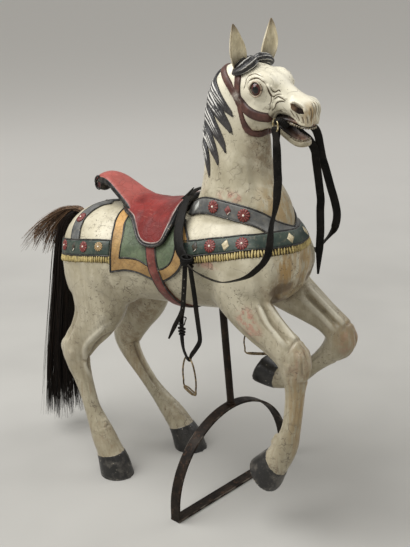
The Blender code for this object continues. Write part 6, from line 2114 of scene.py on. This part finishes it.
HANGER = route([  # the strap through the stirrup: down one side and up the other
    (-12, -160, 686, 0.1, -0.99, 0), (-11, -162.5, 670, 0.1, -0.99, 0), (-12, -164, 645, 0.15, -0.98, 0),
    (-14, -166, 611, 0.15, -0.98, 0), (-17, -168, 573, 0.1, -0.99, 0), (-21.5, -169, 545, 0, -1, 0),
    (-21.5, -170, 515, -0.1, -0.99, 0), (-21, -170.5, 485, -0.2, -0.98, 0),
    (-16.5, -171.5, 462, -0.4, -0.9, 0), (-7.5, -172.7, 445.5, -0.469, -0.883, 0),
    (-6.6, -170.8, 437.2, -0.35, -0.65, -0.67), (-5, -168, 435.2, 0, 0, -1),
    (-3.4, -165.2, 437.2, 0.35, 0.65, -0.67), (-1, -163.5, 447, 0.469, 0.883, 0),
    (13, -162, 468, 0.3, 0.95, 0), (24.5, -161, 491, 0.1, 0.99, 0), (22, -161, 524, -0.05, 1, 0),
    (16.5, -160.5, 565, -0.1, 0.99, 0), (12, -160, 603, -0.1, 0.99, 0), (7, -159.5, 636, -0.1, 0.99, 0),
    (3, -159, 662, -0.1, 0.99, 0), (0, -158.5, 686, -0.1, 0.99, 0),
])
STRAP_END = route([
    (-20, -169.5, 560, 0.1, -0.99, 0), (-23.5, -174.2, 547, 0.2, -0.97, 0),
    (-29, -178.8, 534, 0.2, -0.97, 0), (-36, -180, 520, 0.3, -0.94, 0), (-45, -181, 502, 0.4, -0.92, 0),
    (-52.5, -182, 487, 0.4, -0.92, 0),
])
LEATHER, REIN_WIDTH, WITHERS_WIDTH, HANGER_WIDTH = 0.0025, 0.019, 0.026, 0.013
DIVIDES = 0.686        # height at which the wide strap becomes two narrow ones
LEFT_LONGER, LEFT_BACK = 1.146, 0.019


def hung(point, side):
    """A point of the right stirrup's straps, or the left one's, which hang longer and further back."""
    x, y, z = point
    if side < 0:
        return (x, y, z)
    drop = DIVIDES - z
    return (x - LEFT_BACK * max(drop, 0) / 0.24, -y, DIVIDES - drop * (LEFT_LONGER if drop > 0 else 1))


def hung_rows(rows, side):
    return [(hung(point, side), (facing[0], -facing[1] * side, facing[2])) for point, facing in rows]


def lay_strap(made, rows, width, thickness, steps=6, ends=(1.0, 1.0), waist=None):
    """A leather strap with rounded edges: points along its middle, and the way its face points at each."""
    table = through([(*point, *facing) for point, facing in rows], steps)
    last = len(table) - 1
    rings, widths, alongs = [], [], travelled(table)
    section = [(-1, 0.0), (-0.96, 0.55), (-0.8, 1.0), (-0.3, 1.06), (0.3, 1.06), (0.8, 1.0),
               (0.96, 0.55), (1, 0.0), (0.96, -0.55), (0.8, -1.0), (-0.8, -1.0), (-0.96, -0.55)]
    for i, row in enumerate(table):
        here = Vector(row[:3])
        along = ahead_at(table, i)
        facing = Vector(row[3:])
        facing = (facing - along * facing.dot(along)).normalized()
        side = along.cross(facing)
        narrowed = min(1.0, ends[0] + 0.9 * i / (3.0 * steps), ends[1] + 0.9 * (last - i) / (3.0 * steps))
        half = width / 2 * narrowed * (waist(i / last) if waist else 1.0)
        rings.append([here + side * (half * a) + facing * (thickness / 2 * b) for a, b in section])
        widths.append([a for a, _ in section])
    made.rings(rings, alongs, widths)
    return alongs[-1]


# %% Leather
leather = finish_named("black_leather", roughness=0.5, specular=0.1)
spot = where()
soft = blotches(spot, 30.0, 0.36, 0.66, 4.0, 0.6)
black = over(soft, (0.0035, 0.0032, 0.0026), (0.013, 0.011, 0.009))
crease = mixed("ShaderNodeCombineXYZ", {"X": times(named("along"), 260.0), "Y": times(named("across"), 1.6)})
folds = grain(crease, 1.0, 3.0, 0.6)
black = over(times(ease(folds, 0.56, 0.7), 0.4), black, (0.045, 0.04, 0.033))
edge = ease(maths("ABSOLUTE", named("across")), 0.84, 0.98)
rub = blotches(spot, 60.0, 0.46, 0.66, 4.0, 0.6)
black = over(times(times(edge, rub), 0.7), black, (0.075, 0.066, 0.054))
coat(black)
coat(plus(times(soft, 0.16), 0.44), "Roughness")
relief(plus(folds, grain(spot, 420.0, 3.0)), 0.0005, 0.6)

# %% Reins
for rows, word, ends in ((REIN_RIGHT, "right", (0.6, 1.0)), (REIN_LEFT, "left", (0.3, 1.0))):
    rein = Relief()
    length = lay_strap(rein, rows, REIN_WIDTH, LEATHER, 7, ends)
    settle(rein.made(f"rein_{word}_leather"), leather, [f"rein_{word}"])
    print("rein", word, round(length, 3), "m long")

# %% Stirrup strap
ROUND_AND_BACK = [*turns(16), 2 * math.pi]
KNOT_COILS = mm([(10, 15), (4, 16.8), (-3, 16), (-9, 13.5)])      # height above the knot's middle, half width
straps = Relief()
over_withers = [((x, -y, z), (a, -b, c)) for (x, y, z), (a, b, c) in WITHERS_STRAP][::-1] + WITHERS_STRAP[1:]
TONGUE = route([
    (-104, -44, 790, -0.2, -0.8, 0.5), (-89, -40, 806, -0.3, -0.8, 0.4), (-73, -34, 825, -0.3, -0.8, 0.3),
])
lay_strap(straps, TONGUE, 0.02, LEATHER, 6, (1.0, 0.06))
length = lay_strap(straps, over_withers, WITHERS_WIDTH, LEATHER * 1.6, 7,
                   waist=lambda t: 1.0 - 0.55 * max(0.0, 1 - abs(t - 0.5) / 0.22))
print("strap over the withers", round(length, 3), "m long")
for side in (1, -1):
    length = lay_strap(straps, hung_rows(HANGER, side), HANGER_WIDTH, LEATHER)
    print("strap through the stirrup", round(length, 3), "m long")
    lay_strap(straps, hung_rows(STRAP_END, side), 0.011, LEATHER, 6, (1.0, 0.4))
    knot_at = Vector(hung((-0.0065, -0.1595, 0.684), side))
    for turn_number, (rise, wide) in enumerate(KNOT_COILS):
        coil = [(knot_at.x + wide * math.cos(a), knot_at.y + 0.0072 * math.sin(a),
                 knot_at.z + rise + 0.0035 * math.sin(a + turn_number)) for a in ROUND_AND_BACK]
        lay_cord(straps, None, coil, 0.0036, steps=2, sides=8, closed=True)
    for at, size in ((0.516, 0.0095), (0.508, 0.0085), (0.501, 0.007)):
        loop = Vector(hung((-0.0213, -0.17, at), side))
        ring = [(loop.x + size * math.cos(a), loop.y + 0.004 * math.sin(a), loop.z) for a in ROUND_AND_BACK]
        lay_cord(straps, None, ring, 0.0022, steps=1, sides=8, closed=True)
settle(straps.made("stirrup_leathers"), leather, ["stirrup_strap"])

# %% Strap holes
hole_paint = finish_named("strap_hole", roughness=0.8)
coat(over(blotches(where(), 400.0, 0.4, 0.6, 2.0), (0.11, 0.095, 0.075), (0.2, 0.18, 0.15)))
hole = lump("hole", (0, 0, 0), (0.0013, 0.0017, 0.0004), segments=8)
spots, facings = [], []
for side in (1, -1):
    rows = through([(*point, *facing) for point, facing in hung_rows(HANGER[:8], side)], 8)
    for z in (0.640, 0.622, 0.604, 0.586, 0.568):
        target = DIVIDES - (DIVIDES - z) * (LEFT_LONGER if side > 0 else 1)
        row = min(rows, key=lambda r: abs(r[2] - target))
        facing = Vector(row[3:]).normalized()
        spots.append(Vector(row[:3]) + facing * (LEATHER / 2 + 0.0001))
        facings.append(facing)
headings = [Vector((1, 0, 0))] * len(spots)
holes = in_a_row("strap_holes", spots, facings, hole, hole_paint, seed=2, headings=headings)
gone(hole)
settle(holes, hole_paint)

# %% [markdown]
# ## Buckles, stirrups and bit
#
# The buckle is a square of iron wire with a tongue. The stirrup is a narrow ring of dull brass wire with a
# flat double tread. The bit is a bar with leather wound round its ends, and a brass ring hangs from each
# end.

# %% Wire
def wire(name, outline, radius, sides=12, steps=6, closed=True):
    """A round wire bent along an outline, with frames carried along so that it doesn't twist."""
    corners = [tuple(p) for p in outline]
    if closed:
        rows = through(corners[-2:] + corners + corners[:2], steps)[2 * steps: -2 * steps + steps - 1]
        rows = [Vector(r) for r in rows[: len(corners) * steps]]
    else:
        rows = [Vector(r) for r in through(corners, steps)]
    rings, facing = [], None
    for i, row in enumerate(rows):
        ahead = ahead_at(rows, i, closed)
        if facing is None:
            facing = ahead.orthogonal().normalized()
        facing = (facing - ahead * facing.dot(ahead)).normalized()
        side = ahead.cross(facing)
        rings.append([row + (facing * math.cos(a) + side * math.sin(a)) * radius for a in turns(sides)])
    made = Relief()
    made.rings(rings, closed_run=closed)
    return made.made(name)


def metal(name, dark, bright, roughness, scale=90.0):
    paint = finish_named(name, roughness=roughness, metallic=0.85)
    spot = where()
    tarnish = ease(grain(spot, scale, 5.0, 0.65), 0.38, 0.64)
    coat(over(tarnish, dark, bright))
    coat(ease(tarnish, 0.0, 1.0, roughness + 0.22, roughness), "Roughness")
    relief(tarnish, 0.0003, 0.6)
    return paint


dull_brass = metal("dull_brass", (0.075, 0.052, 0.026), (0.3, 0.225, 0.125), 0.34)
bright_brass = metal("bright_brass", (0.38, 0.29, 0.13), (0.88, 0.78, 0.5), 0.24)
iron = metal("black_iron", (0.012, 0.011, 0.01), (0.07, 0.062, 0.052), 0.42)

# %% Stirrups and buckles
BUCKLE = mm([(-10, -9), (0, -9.3), (10, -9), (10.3, 0), (10, 9), (0, 9.3), (-10, 9), (-10.3, 0)])
for side, word in BOTH_SIDES:
    turned = Matrix.Rotation(math.radians(STIRRUP_TURN * -side), 4, "Z")
    place = Matrix.Translation(hung(STIRRUP_TOP, side)) @ turned
    hoop = wire(f"stirrup_{word}_wire", [place @ Vector((x, 0, z)) for x, z in STIRRUP], 0.0021)
    bars = []
    for across in (-0.0052, 0.0052):
        ends = []
        for x in mm((-30.5, -20, 0, 20, 30.5)):
            y, z = across * (1 - (abs(x) / 0.031) ** 6), -0.087 - 0.0008 * (1 - (x / 0.030) ** 2)
            ends.append(place @ Vector((x, y, z)))
        bars.append(wire("tread", ends, 0.0019, closed=False))
    settle(joined(f"stirrup_{word}_brass", [hoop, *bars]), dull_brass, [f"stirrup_{word}"])
    tipped = Matrix.Rotation(math.radians(32 * side), 4, "X")
    centre = Matrix.Translation(hung((-0.0215, -0.1693, 0.536), side)) @ tipped
    square = wire(f"buckle_{word}_wire", [centre @ Vector((x, 0, z)) for x, z in BUCKLE], 0.0016)
    tongue_line = [centre @ Vector((0.001, side * 0.0012, z)) for z in (0.0095, 0.0, -0.0100)]
    tongue_pin = wire("pin", tongue_line, 0.0010, closed=False)
    settle(joined(f"buckle_{word}_iron", [square, tongue_pin]), iron, [f"buckle_{word}"])

# %% Bit
WRAPPING = mm([(165.5, 50, 1010), (176, 45.5, 1012), (184, 41.5, 1007), (193, 36.5, 1001)])
wrapped = Relief()
for side in (1, -1):
    rows = [Vector(p) for p in through([(x, y * side, z) for x, y, z in WRAPPING], 10)]
    rings = []
    for i, row in enumerate(rows):
        ahead = ahead_at(rows, i)
        out = Vector((0, side, 0))
        out = (out - ahead * out.dot(ahead)).normalized()
        up = ahead.cross(out)
        t = i / (len(rows) - 1)
        size = 0.0088 * math.sin(math.pi * (0.12 + 0.8 * t)) ** 0.5 * (1 + 0.1 * math.cos(i * 1.9))
        rings.append([row + (out * math.cos(a) + up * math.sin(a)) * size for a in turns(16)])
    wrapped.rings(rings, [0.01 * i for i in range(len(rows))])
bar = wire("bit_rod", [(0.17, y, 1.008) for y in (-0.05, -0.02, 0.02, 0.05)], 0.0048, closed=False)
settle(joined("bit_bar_wrapped", [wrapped.made("wrap"), bar]), leather, ["bit_bar"])
RING_RADIUS = 0.0145
for side, word in BOTH_SIDES:
    lean = -math.radians(36) * side
    flat_ring = [(RING_RADIUS * math.cos(a), RING_RADIUS * math.sin(a)) for a in turns(24)]
    ring = [(0.166 + u * math.cos(lean), 0.047 * side - u * math.sin(lean), 1.002 + v) for u, v in flat_ring]
    bit_ring = wire(f"bit_ring_{word}_brass", ring, 0.0017, steps=3)
    settle(bit_ring, bright_brass, [f"bit_ring_{word}"])


# %% [markdown]
# ## Stand
#
# The stand is bent from flat iron bar: an arch whose legs stand on a straight floor bar, with a round pole
# welded to its crown and let into the belly. The bar has slightly eased edges, and the black paint is worn to
# brown rust and bright metal along them.

# %% Iron
stand_paint = finish_named("stand_iron_paint", roughness=0.55, specular=0.2)
spot = where()
soft = blotches(spot, 18.0, 0.36, 0.66, 5.0, 0.65)
colour = over(soft, (0.006, 0.0038, 0.0024), (0.022, 0.013, 0.007))
rust = blotches(spot, 70.0, 0.54, 0.68, 5.0, 0.7)
colour = over(times(rust, 0.55), colour, (0.085, 0.042, 0.022))
edge = ease(maths("ABSOLUTE", named("across")), 0.8, 0.96)
bare = times(edge, blotches(spot, 26.0, 0.46, 0.62, 4.0))
worn = maths("GREATER_THAN", grain(spot, 11.0, 3.0), 0.7)
bare = larger(times(bare, 0.6), times(worn, 0.35))
colour = over(bare, colour, (0.18, 0.155, 0.125))
coat(colour)
coat(ease(soft, 0.0, 1.0, 0.62, 0.46), "Roughness")
relief(plus(rust, grain(spot, 240.0, 3.0)), 0.0005, 0.6)

# %% Arch, floor bar and pole
ARCH_RADIUS, ARCH_LEG, BAR_WIDTH, BAR_THICK = mm((215, 30, 30, 6))
ARCH_TURN = math.radians(-7.8)
BAR_SECTION = [(-1, -0.72), (-0.95, -1), (0.95, -1), (1, -0.72), (1, 0.72), (0.95, 1), (-0.95, 1), (-1, 0.72)]
turned = Matrix.Rotation(ARCH_TURN, 4, "Z")


def bent_bar(name, path):
    """Flat bar along a path in the YZ plane, its width along X, turned to the stand's own angle."""
    rings, widths = [], []
    for i, (y, z) in enumerate(path):
        before, after = path[max(i - 1, 0)], path[min(i + 1, len(path) - 1)]
        along = Vector((0, after[0] - before[0], after[1] - before[1])).normalized()
        out = along.cross(Vector((1, 0, 0)))
        flat = [Vector((a * BAR_WIDTH / 2, y, z)) + out * (b * BAR_THICK / 2) for a, b in BAR_SECTION]
        rings.append([turned @ corner for corner in flat])
        widths.append([a for a, _ in BAR_SECTION])
    made = Relief()
    made.rings(rings, 0.0, widths)
    return made.made(name)


foot = BAR_THICK + 0.0003
path = [(ARCH_RADIUS, foot), (ARCH_RADIUS, foot + 0.001), (ARCH_RADIUS, ARCH_LEG)]
bend = [math.pi * k / 96 for k in range(1, 96)]
path += [(ARCH_RADIUS * math.cos(a), ARCH_LEG + ARCH_RADIUS * math.sin(a)) for a in bend]
path += [(-ARCH_RADIUS, ARCH_LEG), (-ARCH_RADIUS, foot + 0.001), (-ARCH_RADIUS, foot)]
settle(bent_bar("stand_arch_bar", path), stand_paint, ["stand_arch"], smooth=False)
reach = ARCH_RADIUS + BAR_THICK / 2
level_path = [(-reach + 2 * reach * k / 12, BAR_THICK / 2) for k in range(13)]
level_bar = bent_bar("stand_floor_piece", level_path)
settle(level_bar, stand_paint, ["stand_floor_bar"], smooth=False)
POLE_RADIUS, WELD_RADIUS = 0.0095, 0.0104
pole_foot, pole_top = Vector((0.0, 0.0, 0.2491)), Vector((-0.023, 0.0, 0.56))
pole_line = [pole_foot.lerp(pole_top, t) for t in (0.0, 0.02, 0.2, 0.4, 0.6, 0.8, 1.0)]
up = (pole_top - pole_foot).normalized()
east = Vector((0, 1, 0)).cross(up).normalized()
around = [(east * math.cos(a) + Vector((0, 1, 0)) * math.sin(a)) * POLE_RADIUS for a in turns(40)]
pole = Relief()
pole.rings([[row + out for out in around] for row in pole_line])
bead = [pole_foot + Vector((math.cos(a) * WELD_RADIUS, math.sin(a) * WELD_RADIUS, 0.0016)) for a in turns(12)]
weld = wire("weld", bead, 0.002, steps=2)
pole_and_weld = joined("stand_pole_iron", [pole.made("stand_pole_rod"), weld])
settle(pole_and_weld, stand_paint, ["stand_pole"])
print("stand placed")


# %% [markdown]
# ## Closing
#
# The number of pieces placed is printed.

# %% Finish
print(len(PIECES), "pieces placed")
